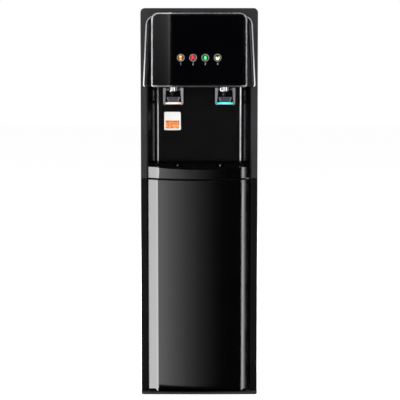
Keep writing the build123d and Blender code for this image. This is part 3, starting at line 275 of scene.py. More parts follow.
def colouredBar(name, look, node):
    # opal moulded bar over the lever's web: pale in the middle, deeper in colour towards the ends,
    # and painted shade as a dark band along its foot
    material, tree = newMaterial(name)
    low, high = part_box(node)
    place = addNode(tree, "ShaderNodeTexCoord").outputs["Object"]
    along = addNode(tree, "ShaderNodeSeparateXYZ", {"Vector": place})
    offset = addNode(tree, "ShaderNodeMath", {
        0: along.outputs["X"], 1: (low.x + high.x) / 2,
    }, operation="SUBTRACT")
    side = addNode(tree, "ShaderNodeMath", {0: offset.outputs["Value"]}, operation="ABSOLUTE")
    ratio = addNode(tree, "ShaderNodeMath", {
        0: side.outputs["Value"], 1: (high.x - low.x) / 2,
    }, operation="DIVIDE")
    cloud = addNode(tree, "ShaderNodeTexNoise", {
        "Vector": place, "Scale": perMetre(look["cloudMm"]),
    })
    mixed = addNode(tree, "ShaderNodeMath", {
        0: cloud.outputs["Fac"], 1: 0.12, 2: ratio.outputs["Value"],
    }, operation="MULTIPLY_ADD")
    colour = setRamp(
        addNode(tree, "ShaderNodeValToRGB", {"Fac": mixed.outputs["Value"]}),
        [
            (0.0, hexToLinear(look["middle"])), (0.62, hexToLinear(look["arm"])),
            (1.0, hexToLinear(look["end"])),
        ],
    )
    # painted shade: a thin dark band along the bar's foot, in the shade colour
    shadeBandStart, shadeBandEnd = look["shadeBand"]
    shadeBand = levelAlong(tree, along.outputs["Z"], [(low.z + shadeBandStart, 1.0), (low.z + shadeBandEnd, 0.0)])
    shaded = addNode(tree, "ShaderNodeMix", {
        0: shadeBand, 6: colour.outputs["Color"], 7: hexToLinear(look["shade"]),
    }, data_type="RGBA")
    roughness = addNode(tree, "ShaderNodeMapRange", {
        "Value": cloud.outputs["Fac"], "To Min": 0.12, "To Max": 0.22,
    })
    shader = addNode(tree, "ShaderNodeBsdfPrincipled", {
        "Base Color": shaded.outputs[2], "Roughness": roughness.outputs["Result"], "IOR": 1.5,
        "Subsurface Weight": 0.15, "Subsurface Scale": 0.002,
    })
    addNode(tree, "ShaderNodeOutputMaterial", {"Surface": shader.outputs["BSDF"]})
    return material


finishes = {
    # charcoal ABS with a fine spark-eroded grain: a dull, even sheen
    "charcoal_abs": mouldedPlastic("charcoalAbsSparkGrain", {
        "dark": "#242425", "light": "#28282a", "driftMm": 60, "wipeMm": 35, "roughness": (0.5, 0.58),
        "grainMm": 0.9, "grainHeightMm": 0.05, "grainStrength": 0.35, "ior": 1.35,
    }),
    # black ABS from a polished tool: mirror gloss with the slightest waviness of moulded skin
    "gloss_black_abs": mouldedPlastic("blackAbsPolishedMould", {
        "dark": "#030303", "light": "#040405", "driftMm": 80, "wipeMm": 45, "roughness": (0.015, 0.025),
        "grainMm": 22, "grainHeightMm": 0.01, "grainStrength": 0.2,
    }),
    # cast acrylic sheet, back-printed black: the flattest and deepest gloss on the front
    "black_acrylic": mouldedPlastic("blackAcrylicSheet", {
        "dark": "#020203", "light": "#030305", "driftMm": 90, "wipeMm": 50, "roughness": (0.015, 0.03),
        "grainMm": 40, "grainHeightMm": 0.004, "grainStrength": 0.1, "ior": 1.49,
    }),
    # black ABS, satin tool: the broad soft shine of the niche and the rear mouldings
    "black_abs": mouldedPlastic("blackAbsSatinMould", {
        "dark": "#060607", "light": "#09090a", "driftMm": 50, "wipeMm": 30, "roughness": (0.15, 0.21),
        "grainMm": 0.8, "grainHeightMm": 0.01, "grainStrength": 0.1, "ior": 1.36, "pits": 0.4,
    }),
    # pale grey ABS of the indicator rings: even, slightly warm where it is handled
    "pale_grey_abs": mouldedPlastic("paleGreyAbsSatin", {
        "dark": "#808082", "light": "#8c8c8e", "driftMm": 5, "wipeMm": 4, "roughness": (0.28, 0.36),
        "grainMm": 0.6, "grainHeightMm": 0.01, "grainStrength": 0.2,
    }),
    # bright chrome on ABS: mirror plating with a trace of the moulding's waviness
    "chrome_abs": platedMetal("chromePlatedAbs", {
        "dark": "#d2d3d6", "light": "#dedfe1", "stretch": (1, 1, 0.3), "streakMm": 6, "patchMm": 15,
        "roughness": (0.03, 0.06), "streakStrength": 0.1, "streakHeightMm": 0.005,
    }),
    # textured powder coat on sheet steel: fine orange peel that breaks up the reflections
    "powder_black_steel": mouldedPlastic("powderCoatedSteel", {
        "dark": "#19191b", "light": "#1f1f21", "driftMm": 120, "wipeMm": 60, "roughness": (0.42, 0.52),
        "grainMm": 1.6, "grainHeightMm": 0.06, "grainStrength": 0.45,
    }),
    # dipped black enamel on the refrigeration parts: glossy runs over drawn steel
    "black_painted_steel": mouldedPlastic("dippedBlackEnamel", {
        "dark": "#0c0c0d", "light": "#151517", "driftMm": 12, "wipeMm": 8, "roughness": (0.2, 0.36),
        "grainMm": 3, "grainHeightMm": 0.05, "grainStrength": 0.3,
    }),
    # zinc-plated sheet: crystal spangle
    "zinc_steel": zincPlatedSheet("zincPlatedSheet", {
        "dark": "#96999b", "light": "#b9bcbe", "spangleMm": 5, "roughness": (0.28, 0.42),
    }),
    # drawn stainless steel: fine lines round the vessels and pins
    "stainless_steel": platedMetal("drawnStainlessSteel", {
        "dark": "#a9a9a7", "light": "#c2c2c0", "stretch": (1, 1, 14), "streakMm": 8, "patchMm": 20,
        "roughness": (0.22, 0.32), "streakStrength": 0.2, "streakHeightMm": 0.01,
    }),
    # vulcanised rubber: dull, with bloom in patches
    "rubber": mouldedPlastic("vulcanisedRubber", {
        "dark": "#0e0e0e", "light": "#1a1a19", "driftMm": 6, "wipeMm": 5, "roughness": (0.7, 0.85),
        "grainMm": 0.8, "grainHeightMm": 0.05, "grainStrength": 0.4,
    }),
    # dark grey ABS of the paddles: a violet cast beside the chrome
    "grey_abs": mouldedPlastic("slateAbsSatin", {
        "dark": "#37343d", "light": "#423f4a", "driftMm": 8, "wipeMm": 6, "roughness": (0.25, 0.35),
        "grainMm": 0.7, "grainHeightMm": 0.02, "grainStrength": 0.2,
    }),
    "hot_bar": colouredBar("opalPinkBar", {
        "middle": "#fff1ec", "arm": "#ffe4df", "end": "#f4b9b2", "cloudMm": 4,
        # painted shade along the foot: from and to these heights above the bar's lowest point, in this
        # colour
        "shadeBand": (0.0023, 0.0031), "shade": "#170a0b",
    }, "hot_lever_bar"),
    "cold_bar": colouredBar("opalCyanBar", {
        "middle": "#7df9ff", "arm": "#62edf5", "end": "#35cfd9", "cloudMm": 4,
        "shadeBand": (0.0018, 0.0026), "shade": "#061314",
    }, "cold_lever_bar"),
    # spots are (across, up, half width, half height, colour) in shares of the lens's radius
    "lens_amber": indicatorLens("amberLens", {
        "disc": "#140d06", "facetMm": 1.6, "glow": 0.7, "spots": [
            (0.0, 0.0, 0.85, 0.85, "#6e4416"), (-0.1, 0.35, 0.45, 0.4, "#f5b96a"),
            (-0.05, -0.45, 0.4, 0.35, "#e0a040"), (0.05, -0.08, 0.28, 0.22, "#0c0704"),
            (0.55, 0.1, 0.3, 0.5, "#5a2a12"),
        ],
    }, "power_lens"),
    "lens_red": indicatorLens("redLens", {
        "disc": "#1a0204", "facetMm": 1.6, "glow": 0.75, "spots": [
            (0.0, 0.0, 0.8, 0.8, "#86060f"), (-0.05, 0.2, 0.42, 0.55, "#ff2433"),
            (-0.35, -0.4, 0.3, 0.3, "#d01020"), (0.35, -0.3, 0.3, 0.35, "#b80d1c"),
            (0.05, -0.55, 0.22, 0.25, "#2a0206"),
        ],
    }, "hot_lens"),
    "lens_green": indicatorLens("greenLens", {
        "disc": "#03140a", "facetMm": 1.6, "glow": 0.75, "spots": [
            (0.0, -0.05, 0.8, 0.8, "#075c14"), (0.0, -0.15, 0.48, 0.5, "#22d048"),
            (0.0, 0.1, 0.25, 0.6, "#6cff8c"),
        ],
    }, "cold_lens"),
    "lens_white": indicatorLens("paleLens", {
        "disc": "#0a0a08", "facetMm": 1.6, "glow": 0.8, "spots": [
            (-0.38, 0.0, 0.28, 0.4, "#d9e09a"), (0.42, 0.05, 0.28, 0.45, "#cfd68e"),
            (0.0, -0.4, 0.45, 0.35, "#ffffd6"), (0.02, 0.25, 0.2, 0.4, "#0a0a06"),
        ],
    }, "water_lens"),
    # glass-fibre laminate under green solder mask
    "board_green": mouldedPlastic("solderMaskLaminate", {
        "dark": "#0c4020", "light": "#16562e", "driftMm": 3, "wipeMm": 6, "roughness": (0.25, 0.4),
        "grainMm": 0.6, "grainHeightMm": 0.02, "grainStrength": 0.3,
    }),
    # natural polypropylene: milky white with a waxy sheen
    "white_plastic": mouldedPlastic("naturalPolypropylene", {
        "dark": "#dcdcd6", "light": "#e6e6e1", "driftMm": 20, "wipeMm": 12, "roughness": (0.35, 0.45),
        "grainMm": 1.2, "grainHeightMm": 0.02, "grainStrength": 0.2,
    }),
    # grey polyethylene cap: soft moulded skin
    "cap_grey": mouldedPlastic("greyPolyethylene", {
        "dark": "#56585a", "light": "#636567", "driftMm": 6, "wipeMm": 5, "roughness": (0.4, 0.5),
        "grainMm": 0.8, "grainHeightMm": 0.03, "grainStrength": 0.3,
    }),
    # translucent nylon rocker keys: saturated colour under a clean gloss
    "switch_red": mouldedPlastic("redNylonKey", {
        "dark": "#b3161c", "light": "#c41d24", "driftMm": 5, "wipeMm": 5, "roughness": (0.15, 0.22),
        "grainMm": 3, "grainHeightMm": 0.01, "grainStrength": 0.15,
    }),
    "switch_green": mouldedPlastic("greenNylonKey", {
        "dark": "#0f7a2c", "light": "#158c36", "driftMm": 5, "wipeMm": 5, "roughness": (0.15, 0.22),
        "grainMm": 3, "grainHeightMm": 0.01, "grainStrength": 0.15,
    }),
}

# the niche's side walls come from a blasted tool: black, with only a weak mirror of the chrome
# beside them
pittedWall = mouldedPlastic("blackAbsBlastedMould", {
    "dark": "#050506", "light": "#070708", "driftMm": 50, "wipeMm": 30, "roughness": (0.14, 0.2),
    "grainMm": 0.8, "grainHeightMm": 0.01, "grainStrength": 0.1, "ior": 1.42, "pits": 0.72,
})

for row in frame["record"]["subparts"]:
    part = nodes[row["node"]]
    finish = pittedWall if row["node"] == "niche_walls" else finishes[row["material_slot"]]
    part.data.materials.clear()
    part.data.materials.append(finish)
print("finishes on the frame:", len(finishes))


# blank two-tone label on the back of the niche, lengths in metres

labelSheet = {
    "width": 0.0456, "height": 0.051, "thickness": 0.0003, "corner": 0.0032,
    "fromTap": -0.0039, "centreLevel": 0.7359,
    "blockMargin": 0.0038, "blockLow": 0.005, "blockHigh": 0.0268, "barHeight": 0.0028,
    "footLine": 0.0012, "inkMm": 6, "fibreMm": 0.8,
    "paper": ("#fbf6f5", "#fffcfb"), "inkColours": ("#ea7016", "#ff8e32", "#ffd8ab"),
    "barColour": "#a5501b", "footColour": "#8fae86",
}


def between(tree, value, low, high):  # one inside the range, nought outside it
    edge = 1e-5
    return levelAlong(tree, value, [(low - edge, 0.0), (low, 1.0), (high, 1.0), (high + edge, 0.0)])


def labelPaper(sheet, middle, lowEdge):
    # coated paper: white sheet with a faint fibre relief, printed with a mottled orange block
    # under a brown bar, and a green foot line
    material, tree = newMaterial("coatedLabelPaper")
    place = addNode(tree, "ShaderNodeTexCoord").outputs["Object"]
    axes = addNode(tree, "ShaderNodeSeparateXYZ", {"Vector": place})
    level = axes.outputs["Z"]
    reach = sheet["width"] / 2 - sheet["blockMargin"]
    low = lowEdge + sheet["blockLow"]
    top = lowEdge + sheet["blockHigh"]
    across = between(tree, axes.outputs["X"], middle - reach, middle + reach)
    layers = [
        (between(tree, level, low, top - sheet["barHeight"]), across),
        (between(tree, level, top - sheet["barHeight"], top), across),
        (between(tree, level, lowEdge, lowEdge + sheet["footLine"]), 1.0),
    ]
    ink = addNode(tree, "ShaderNodeTexNoise", {
        "Vector": place, "Scale": perMetre(sheet["inkMm"]), "Detail": 3.0,
    })
    deepInk, midInk, paleInk = (hexToLinear(code) for code in sheet["inkColours"])
    inkColour = setRamp(
        addNode(tree, "ShaderNodeValToRGB", {"Fac": ink.outputs["Fac"]}),
        [(0.36, deepInk), (0.52, midInk), (0.62, paleInk)],
    )
    inks = (
        inkColour.outputs["Color"], hexToLinear(sheet["barColour"]),
        hexToLinear(sheet["footColour"]),
    )
    fibre = addNode(tree, "ShaderNodeTexNoise", {
        "Vector": place, "Scale": perMetre(sheet["fibreMm"]), "Detail": 3.0,
    })
    shadedPaper, litPaper = (hexToLinear(code) for code in sheet["paper"])
    colour = setRamp(
        addNode(tree, "ShaderNodeValToRGB", {"Fac": fibre.outputs["Fac"]}),
        [(0.3, shadedPaper), (0.7, litPaper)],
    ).outputs["Color"]
    for (rise, side), coat in zip(layers, inks):
        share = addNode(tree, "ShaderNodeMath", {0: rise, 1: side}, operation="MULTIPLY")
        colour = addNode(tree, "ShaderNodeMix", {
            0: share.outputs["Value"], 6: colour, 7: coat,
        }, data_type="RGBA").outputs[2]
    bump = addNode(tree, "ShaderNodeBump", {
        "Height": fibre.outputs["Fac"], "Strength": 0.15, "Distance": 0.0001,
    })
    shader = addNode(tree, "ShaderNodeBsdfPrincipled", {
        "Base Color": colour, "Roughness": 0.35, "Normal": bump.outputs["Normal"],
    })
    addNode(tree, "ShaderNodeOutputMaterial", {"Surface": shader.outputs["BSDF"]})
    return material


def makeLabel(sheet):
    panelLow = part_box("niche_back_panel")[0]
    leverLow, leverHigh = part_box("hot_lever")
    middle = (leverLow.x + leverHigh.x) / 2 + sheet["fromTap"]
    lowEdge = sheet["centreLevel"] - sheet["height"] / 2
    deselectAll()
    bpy.ops.mesh.primitive_cube_add(
        size=1,
        location=(middle, panelLow.y - sheet["thickness"] / 2, sheet["centreLevel"]),
        scale=(sheet["width"], sheet["thickness"], sheet["height"]),
    )
    label = bpy.context.object
    settle(label, "nicheLabel", labelPaper(sheet, middle, lowEdge))
    bpy.context.view_layer.objects.active = label
    flat = 1e-6
    pick(label, "EDGE", lambda p: abs(p[0].x - p[1].x) < flat and abs(p[0].z - p[1].z) < flat)
    bpy.ops.mesh.bevel(offset=sheet["corner"], segments=6)
    bpy.ops.object.mode_set(mode="OBJECT")
    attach(label, "cabinet")


makeLabel(labelSheet)
print("label made")


# plain numbers under the four indicators, printed on the fascia, lengths in metres

printedNumbers = {
    "height": 0.0062, "fontPerHeight": 1.4, "thickness": 0.00012, "below": 0.0165,
    "meshMm": 0.5, "thinInk": "#8d8d90", "fullInk": "#a9a9ac",
}


def screenInk(look):
    # screen-printed ink: a pale, slightly broken film on the acrylic
    material, tree = newMaterial("screenPrintedInk")
    place = addNode(tree, "ShaderNodeTexCoord").outputs["Object"]
    mesh = addNode(tree, "ShaderNodeTexNoise", {
        "Vector": place, "Scale": perMetre(look["meshMm"]), "Detail": 2.0,
    })
    colour = setRamp(
        addNode(tree, "ShaderNodeValToRGB", {"Fac": mesh.outputs["Fac"]}),
        [(0.3, hexToLinear(look["thinInk"])), (0.6, hexToLinear(look["fullInk"]))],
    )
    shader = addNode(tree, "ShaderNodeBsdfPrincipled", {
        "Base Color": colour.outputs["Color"], "Roughness": 0.45,
    })
    addNode(tree, "ShaderNodeOutputMaterial", {"Surface": shader.outputs["BSDF"]})
    return material


def fasciaNormal():  # the way that the leaning fascia looks
    total = Vector()
    for face in nodes["control_fascia"].data.polygons:
        if face.normal.y < -0.9:
            total += face.normal * face.area
    return total.normalized()


def makeNumbers(look):
    sideways = Vector((1, 0, 0))
    outward = fasciaNormal()
    upward = sideways.cross(-outward)
    turn = Matrix((sideways, upward, outward)).transposed()
    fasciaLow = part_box("control_fascia")[0]
    ink = screenInk(look)
    for digit, lens in enumerate(("power_lens", "hot_lens", "cold_lens", "water_lens"), 1):
        low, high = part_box(lens)
        foot = Vector(((low.x + high.x) / 2, fasciaLow.y, fasciaLow.z))
        rise = ((low.z + high.z) / 2 - fasciaLow.z) / upward.z - look["below"]
        face = max((v.co - foot).dot(outward) for v in nodes["control_fascia"].data.vertices)
        deselectAll()
        bpy.ops.object.text_add()
        number = bpy.context.object
        number.data.body = str(digit)
        number.data.size = look["height"] * look["fontPerHeight"]
        number.data.extrude = look["thickness"] / 2
        number.data.align_x = "CENTER"
        number.data.align_y = "CENTER"
        bpy.ops.object.convert(target="MESH")
        number.matrix_world = Matrix.Translation(
            foot + upward * rise + outward * (face + look["thickness"] / 2)
        ) @ turn.to_4x4()
        settle(number, f"printedNumber{digit}", ink)
        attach(number, "cabinet")


makeNumbers(printedNumbers)
print("numbers made")


# pan-head screws with a cross recess on the rear panel, lengths in metres

rearScrew = {
    "sides": 32, "round": 0.0011, "slotLength": 0.0042, "slotWidth": 0.001, "slotDepth": 0.0011,
}


def makeScrews(look):
    corners = [v.co.copy() for v in nodes["rear_screws"].data.vertices]
    low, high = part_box("rear_screws")
    head = high.y - low.y
    left = [c for c in corners if c.x < 0]
    radius = (max(c.x for c in left) - min(c.x for c in left)) / 2
    columnX = (max(c.x for c in left) + min(c.x for c in left)) / 2
    levels = []  # lowest and highest point of each screw in the column
    for c in sorted(left, key=lambda c: c.z):
        if not levels or c.z - levels[-1][0] > 4 * radius:
            levels.append([c.z, c.z])
        levels[-1][1] = c.z
    middles = [(a + b) / 2 for a, b in levels]
    deselectAll()
    bpy.ops.mesh.primitive_cylinder_add(
        vertices=look["sides"], radius=radius, depth=head,
        location=(columnX, (low.y + high.y) / 2, middles[0]), rotation=(radians(90), 0, 0),
    )
    screw = bpy.context.object
    settle(screw, "rearScrewHeads", finishes["zinc_steel"])
    bpy.context.view_layer.objects.active = screw
    pick(screw, "EDGE", lambda p: all(c.y > high.y - 1e-5 for c in p))
    bpy.ops.mesh.bevel(offset=look["round"], segments=4)
    bpy.ops.object.mode_set(mode="OBJECT")
    for wide, tall in (("slotLength", "slotWidth"), ("slotWidth", "slotLength")):
        deselectAll()
        bpy.ops.mesh.primitive_cube_add(
            size=1, location=(columnX, high.y, middles[0]),
            scale=(look[wide], 2 * look["slotDepth"], look[tall]),
        )
        cutter = bpy.context.object
        bpy.context.view_layer.objects.active = screw
        cut = screw.modifiers.new("recess", "BOOLEAN")
        cut.operation = "DIFFERENCE"
        cut.object = cutter
        bpy.ops.object.modifier_apply(modifier=cut.name)
        bpy.data.objects.remove(cutter)
    copies = [screw]
    for x in (columnX, -columnX):
        for z in middles:
            if x == columnX and z == middles[0]:
                continue
            deselectAll()
            screw.select_set(True)
            bpy.context.view_layer.objects.active = screw
            bpy.ops.object.duplicate()
            twin = bpy.context.object
            bpy.ops.transform.translate(value=(x - columnX, 0, z - middles[0]))
            copies.append(twin)
    deselectAll()
    for twin in copies:
        twin.select_set(True)
    bpy.context.view_layer.objects.active = screw
    bpy.ops.object.join()
    settle(screw, "rearScrewHeads", finishes["zinc_steel"])
    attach(screw, "cabinet")
    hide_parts("rear_screws")


makeScrews(rearScrew)
print("rear screws made")


# studio: pale floor, white surround, cards that only gloss mirrors, soft lamps

studio = {
    "surroundFill": 0.4, "surroundShine": 0.015,
    "floorSize": 40, "floorLift": 0.66, "fibreMm": 300, "floorPaper": ("#e7e7e7", "#eaeaea"),
}


def makeSurround(look):
    # white for the camera and through clear pieces, dim where it only shines on gloss
    world = bpy.data.worlds.new("whiteSurround")
    bpy.context.scene.world = world
    world.use_nodes = True
    tree = world.node_tree
    tree.nodes.clear()
    path = addNode(tree, "ShaderNodeLightPath")
    seen = addNode(tree, "ShaderNodeMath", {
        0: path.outputs["Is Camera Ray"], 1: path.outputs["Is Transmission Ray"],
    }, operation="MAXIMUM")
    fill, shine, white = (
        addNode(tree, "ShaderNodeBackground", {"Color": grey(1.0), "Strength": strength})
        for strength in (look["surroundFill"], look["surroundShine"], 1.0)
    )
    near = addNode(tree, "ShaderNodeMixShader", {
        0: path.outputs["Is Glossy Ray"], 1: fill.outputs[0], 2: shine.outputs[0],
    })
    mix = addNode(tree, "ShaderNodeMixShader", {
        0: seen.outputs["Value"], 1: near.outputs[0], 2: white.outputs[0],
    })
    addNode(tree, "ShaderNodeOutputWorld", {"Surface": mix.outputs[0]})


def makeFloor(look):
    # paper roll: faint broad clouds, lifted to white for the camera, and it keeps the shadow
    deselectAll()
    bpy.ops.mesh.primitive_plane_add(size=look["floorSize"])
    floor = bpy.context.object
    material, tree = newMaterial("paleFloorPaper")
    place = addNode(tree, "ShaderNodeTexCoord").outputs["Object"]
    fibre = addNode(tree, "ShaderNodeTexNoise", {
        "Vector": place, "Scale": perMetre(look["fibreMm"]), "Detail": 3.0,
    })
    shaded, pale = (hexToLinear(code) for code in look["floorPaper"])
    colour = setRamp(
        addNode(tree, "ShaderNodeValToRGB", {"Fac": fibre.outputs["Fac"]}),
        [(0.3, shaded), (0.7, pale)],
    )
    paper = addNode(tree, "ShaderNodeBsdfDiffuse", {"Color": colour.outputs["Color"]})
    path = addNode(tree, "ShaderNodeLightPath")
    seen = addNode(tree, "ShaderNodeMath", {
        0: path.outputs["Is Camera Ray"], 1: path.outputs["Is Transmission Ray"],
    }, operation="MAXIMUM")
    strength = addNode(tree, "ShaderNodeMath", {
        0: seen.outputs["Value"], 1: look["floorLift"],
    }, operation="MULTIPLY")
    lift = addNode(tree, "ShaderNodeEmission", {
        "Color": grey(1.0), "Strength": strength.outputs["Value"],
    })
    both = addNode(tree, "ShaderNodeAddShader", {0: paper.outputs[0], 1: lift.outputs[0]})
    addNode(tree, "ShaderNodeOutputMaterial", {"Surface": both.outputs[0]})
    settle(floor, "studioFloor", material)
    floor.visible_glossy = False


def onlyReflected(card):  # a card that only glossy surfaces see
    card.visible_camera = False
    card.visible_diffuse = False
    card.visible_shadow = False
    card.visible_transmission = False


def cardLight(tree, strength):
    light = addNode(tree, "ShaderNodeEmission", {"Color": grey(1.0), "Strength": strength})
    addNode(tree, "ShaderNodeOutputMaterial", {"Surface": light.outputs[0]})


# half a drum of card in front, in metres: each band gives its light by bearing, in degrees right
# of the front, and its share of that by height, and where bands cross the brighter one shows
frontDrum = {
    "radius": 4.2, "low": -4.5, "high": 6.0, "sides": 256,
    "bands": {
        "doorFace": {
            "bearings": [
                (-66.5, 0.0), (-65.5, 2.42), (-56, 2.12), (-49.4, 1.85), (-39.2, 1.45),
                (-29.4, 1.14), (-20, 0.8), (-10.5, 0.6), (-0.5, 0.37), (12.5, 0.19), (25.5, 0.06),
                (38, 0.015), (45, 0.0),
            ],
            "heights": [
                (-2.3, 0.0), (-2.2, 1.0), (-1.5, 1.0), (-0.99, 0.0), (-0.896, 0.0), (-0.891, 1.0),
                (0.36, 1.0), (0.37, 0.0),
            ],
        },
        "doorBevels": {
            "bearings": [
                (-77.035, 0.0), (-77.02, 13.6), (-76.95, 10.7), (-76.45, 10.7), (-76.4, 12.4),
                (-66.6, 13.4), (-65.8, 13.4), (-65.2, 0.0), (76.41, 0.0), (76.44, 9.9),
                (76.49, 9.3), (76.57, 5.4), (76.65, 1.8), (76.7, 0.6), (76.74, 0.0),
            ],
            "heights": [(-2.3, 0.0), (-2.2, 1.0), (0.36, 1.0), (0.37, 0.0)],
        },
        "levers": {
            "bearings": [
                (-60, 0.0), (-55, 5.0), (-30, 5.0), (-14, 0.36), (-3.5, 0.45), (-3.25, 0.45),
                (-3.1, 0.2), (-1.7, 0.2), (-1.5, 0.68), (-1.4, 0.68), (0, 0.3), (1.4, 0.48),
                (1.5, 0.48), (1.7, 0.2), (3.1, 0.2), (3.25, 0.44), (3.5, 0.44), (14, 0.36),
                (30, 5.0), (40, 4.5), (45, 0.0),
            ],
            "heights": [(-3.2, 0.0), (-3.1, 1.0), (-2.5, 1.0), (-2.4, 0.0)],
        },
        "taps": {
            "bearings": [
                (-90, 0.25), (-66, 0.25), (-62, 0.9), (-50, 0.9), (-45, 0.1), (-38, 0.1),
                (-33, 1.9), (-16, 1.9), (-13, 0.1), (12, 0.1), (15, 2.0), (28, 1.9), (33, 0.6),
                (45, 0.3), (52, 0.05), (64, 0.05), (70, 0.4), (90, 0.25),
            ],
            "heights": [(0.36, 0.0), (0.37, 1.0), (1.25, 1.0), (1.27, 0.0)],
        },
        "roundedEdges": {
            "bearings": [
                (-50, 0.0), (-45, 12.0), (-20, 12.0), (-15, 0.0), (-5, 0.0), (-3, 6.0), (4, 6.0),
                (6, 0.0),
            ],
            "heights": [(4.8, 0.0), (4.88, 1.0), (5.08, 1.0), (5.16, 0.0)],
        },
    },
}


def makeFrontDrum(look):
    deselectAll()
    bpy.ops.mesh.primitive_cylinder_add(
        vertices=look["sides"], radius=look["radius"], depth=look["high"] - look["low"],
        end_fill_type="NOTHING", location=(0, 0, (look["high"] + look["low"]) / 2),
    )
    drum = bpy.context.object
    material, tree = newMaterial("litFrontCard")
    place = addNode(tree, "ShaderNodeTexCoord").outputs["Object"]
    axes = addNode(tree, "ShaderNodeSeparateXYZ", {"Vector": place})
    forward = addNode(tree, "ShaderNodeMath", {
        0: axes.outputs["Y"], 1: -1.0,
    }, operation="MULTIPLY")
    bearing = addNode(tree, "ShaderNodeMath", {
        0: axes.outputs["X"], 1: forward.outputs["Value"],
    }, operation="ARCTAN2")
    turn = addNode(tree, "ShaderNodeMath", {0: bearing.outputs["Value"]}, operation="DEGREES")
    total = 0.0
    for band in look["bands"].values():
        sweep = levelAlong(tree, turn.outputs["Value"], band["bearings"])
        there = levelAlong(tree, axes.outputs["Z"], band["heights"])
        share = addNode(tree, "ShaderNodeMath", {0: sweep, 1: there}, operation="MULTIPLY")
        total = addNode(tree, "ShaderNodeMath", {
            0: share.outputs["Value"], 1: total,
        }, operation="MAXIMUM").outputs["Value"]
    cardLight(tree, total)
    settle(drum, "frontDrum", material)
    bpy.context.view_layer.objects.active = drum
    pick(drum, "FACE", lambda p: sum(c.y for c in p) > 0)
    bpy.ops.mesh.delete(type="FACE")
    bpy.ops.object.mode_set(mode="OBJECT")
    onlyReflected(drum)


# flat cards for the head, the piping and the strips, in metres: light by place across, times a
# share by height
flatCards = {
    "headCard": {
        "y": -4.15, "across": (-1.3, 1.3), "up": (1.3, 2.7),
        "levels": [
            (-1.3, 0.3), (-0.2535, 0.3), (-0.2, 0.42), (-0.175, 0.62), (-0.17, 0.9),
            (-0.1688, 2.4), (-0.1665, 2.4), (-0.1655, 0.0), (1.3, 0.0),
        ],
        "fade": [(1.3, 0.5), (1.72, 0.55), (1.915, 1.05), (2.09, 1.6), (2.7, 1.6)],
        "window": {
            "half": (0.2623, 0.2053), "middle": (0.0, 1.9177),
            "corners": [(1.8, 0.007), (1.95, 0.033)],
            "ring": [(0.0, 0.0), (0.0008, 1.0), (0.0047, 1.0), (0.0057, 0.15)],
            "sides": [(-0.25, 3.6), (-0.235, 0.0), (0.235, 0.0), (0.25, 2.1)],
            "ends": [(1.715, 0.25), (1.725, 0.0), (2.085, 0.0), (2.11, 1.05)],
        },
    },
    "leftPipingCard": {
        "y": -4.15, "across": (-0.36, -0.262), "up": (0.7, 1.3),
        "levels": [(-0.36, 1.9), (-0.262, 1.9)],
        "fade": [(0.7, 0.95), (0.85, 0.87), (1.0, 0.46), (1.08, 0.4), (1.3, 0.4)],
    },
    "rightPipingCard": {
        "y": -4.15, "across": (0.262, 0.36), "up": (0.7, 1.3),
        "levels": [(0.262, 1.5), (0.36, 1.5)],
        "fade": [(0.7, 1.05), (0.85, 0.95), (1.0, 0.45), (1.08, 0.45), (1.3, 0.5)],
    },
    "leftTrimCard": {
        "y": -4.15, "across": (-0.258, -0.215), "up": (0.37, 0.85),
        "levels": [(-0.258, 0.68), (-0.215, 0.68)],
        "fade": [(0.37, 0.87), (0.7, 0.87), (0.73, 0.13), (0.85, 0.13)],
    },
    "rightRearCard": {
        "y": 3.4, "across": (1.0, 4.0), "up": (-0.5, 4.0),
        "levels": [(1.0, 0.09), (4.0, 0.09)], "fade": [(-0.5, 1.0), (4.0, 1.0)],
    },
    "rightTrimCard": {
        "y": -4.15, "across": (0.215, 0.258), "up": (0.37, 0.85),
        "levels": [(0.215, 0.92), (0.258, 0.92)],
        "fade": [(0.37, 1.0), (0.6, 1.0), (0.7, 1.5), (0.85, 1.5)],
    },
}


def windowLight(tree, axes, look, inside):
    # the light inside, with a lit ring round a window whose corners are rounder at the top
    corner = levelAlong(tree, axes.outputs["Z"], look["corners"])
    reach = []
    for way, half, middle in zip(("X", "Z"), look["half"], look["middle"]):
        offset = addNode(tree, "ShaderNodeMath", {
            0: axes.outputs[way], 1: middle,
        }, operation="SUBTRACT")
        away = addNode(tree, "ShaderNodeMath", {0: offset.outputs["Value"]}, operation="ABSOLUTE")
        past = addNode(tree, "ShaderNodeMath", {
            0: away.outputs["Value"], 1: half,
        }, operation="SUBTRACT")
        bent = addNode(tree, "ShaderNodeMath", {
            0: past.outputs["Value"], 1: corner,
        }, operation="ADD")
        kept = addNode(tree, "ShaderNodeMath", {
            0: bent.outputs["Value"], 1: 0.0,
        }, operation="MAXIMUM")
        reach.append(kept.outputs["Value"])
    joined = addNode(tree, "ShaderNodeCombineXYZ", {"X": reach[0], "Y": reach[1], "Z": 0.0})
    length = addNode(tree, "ShaderNodeVectorMath", {
        0: joined.outputs["Vector"],
    }, operation="LENGTH")
    outside = addNode(tree, "ShaderNodeMath", {
        0: length.outputs["Value"], 1: corner,
    }, operation="SUBTRACT")
    ring = levelAlong(tree, outside.outputs["Value"], look["ring"])
    sides = levelAlong(tree, axes.outputs["X"], look["sides"])
    ends = levelAlong(tree, axes.outputs["Z"], look["ends"])
    level = addNode(tree, "ShaderNodeMath", {0: sides, 1: ends}, operation="MAXIMUM")
    lit = addNode(tree, "ShaderNodeMath", {
        0: level.outputs["Value"], 1: ring,
    }, operation="MULTIPLY")
    both = addNode(tree, "ShaderNodeMath", {
        0: lit.outputs["Value"], 1: inside,
    }, operation="MAXIMUM")
    return both.outputs["Value"]


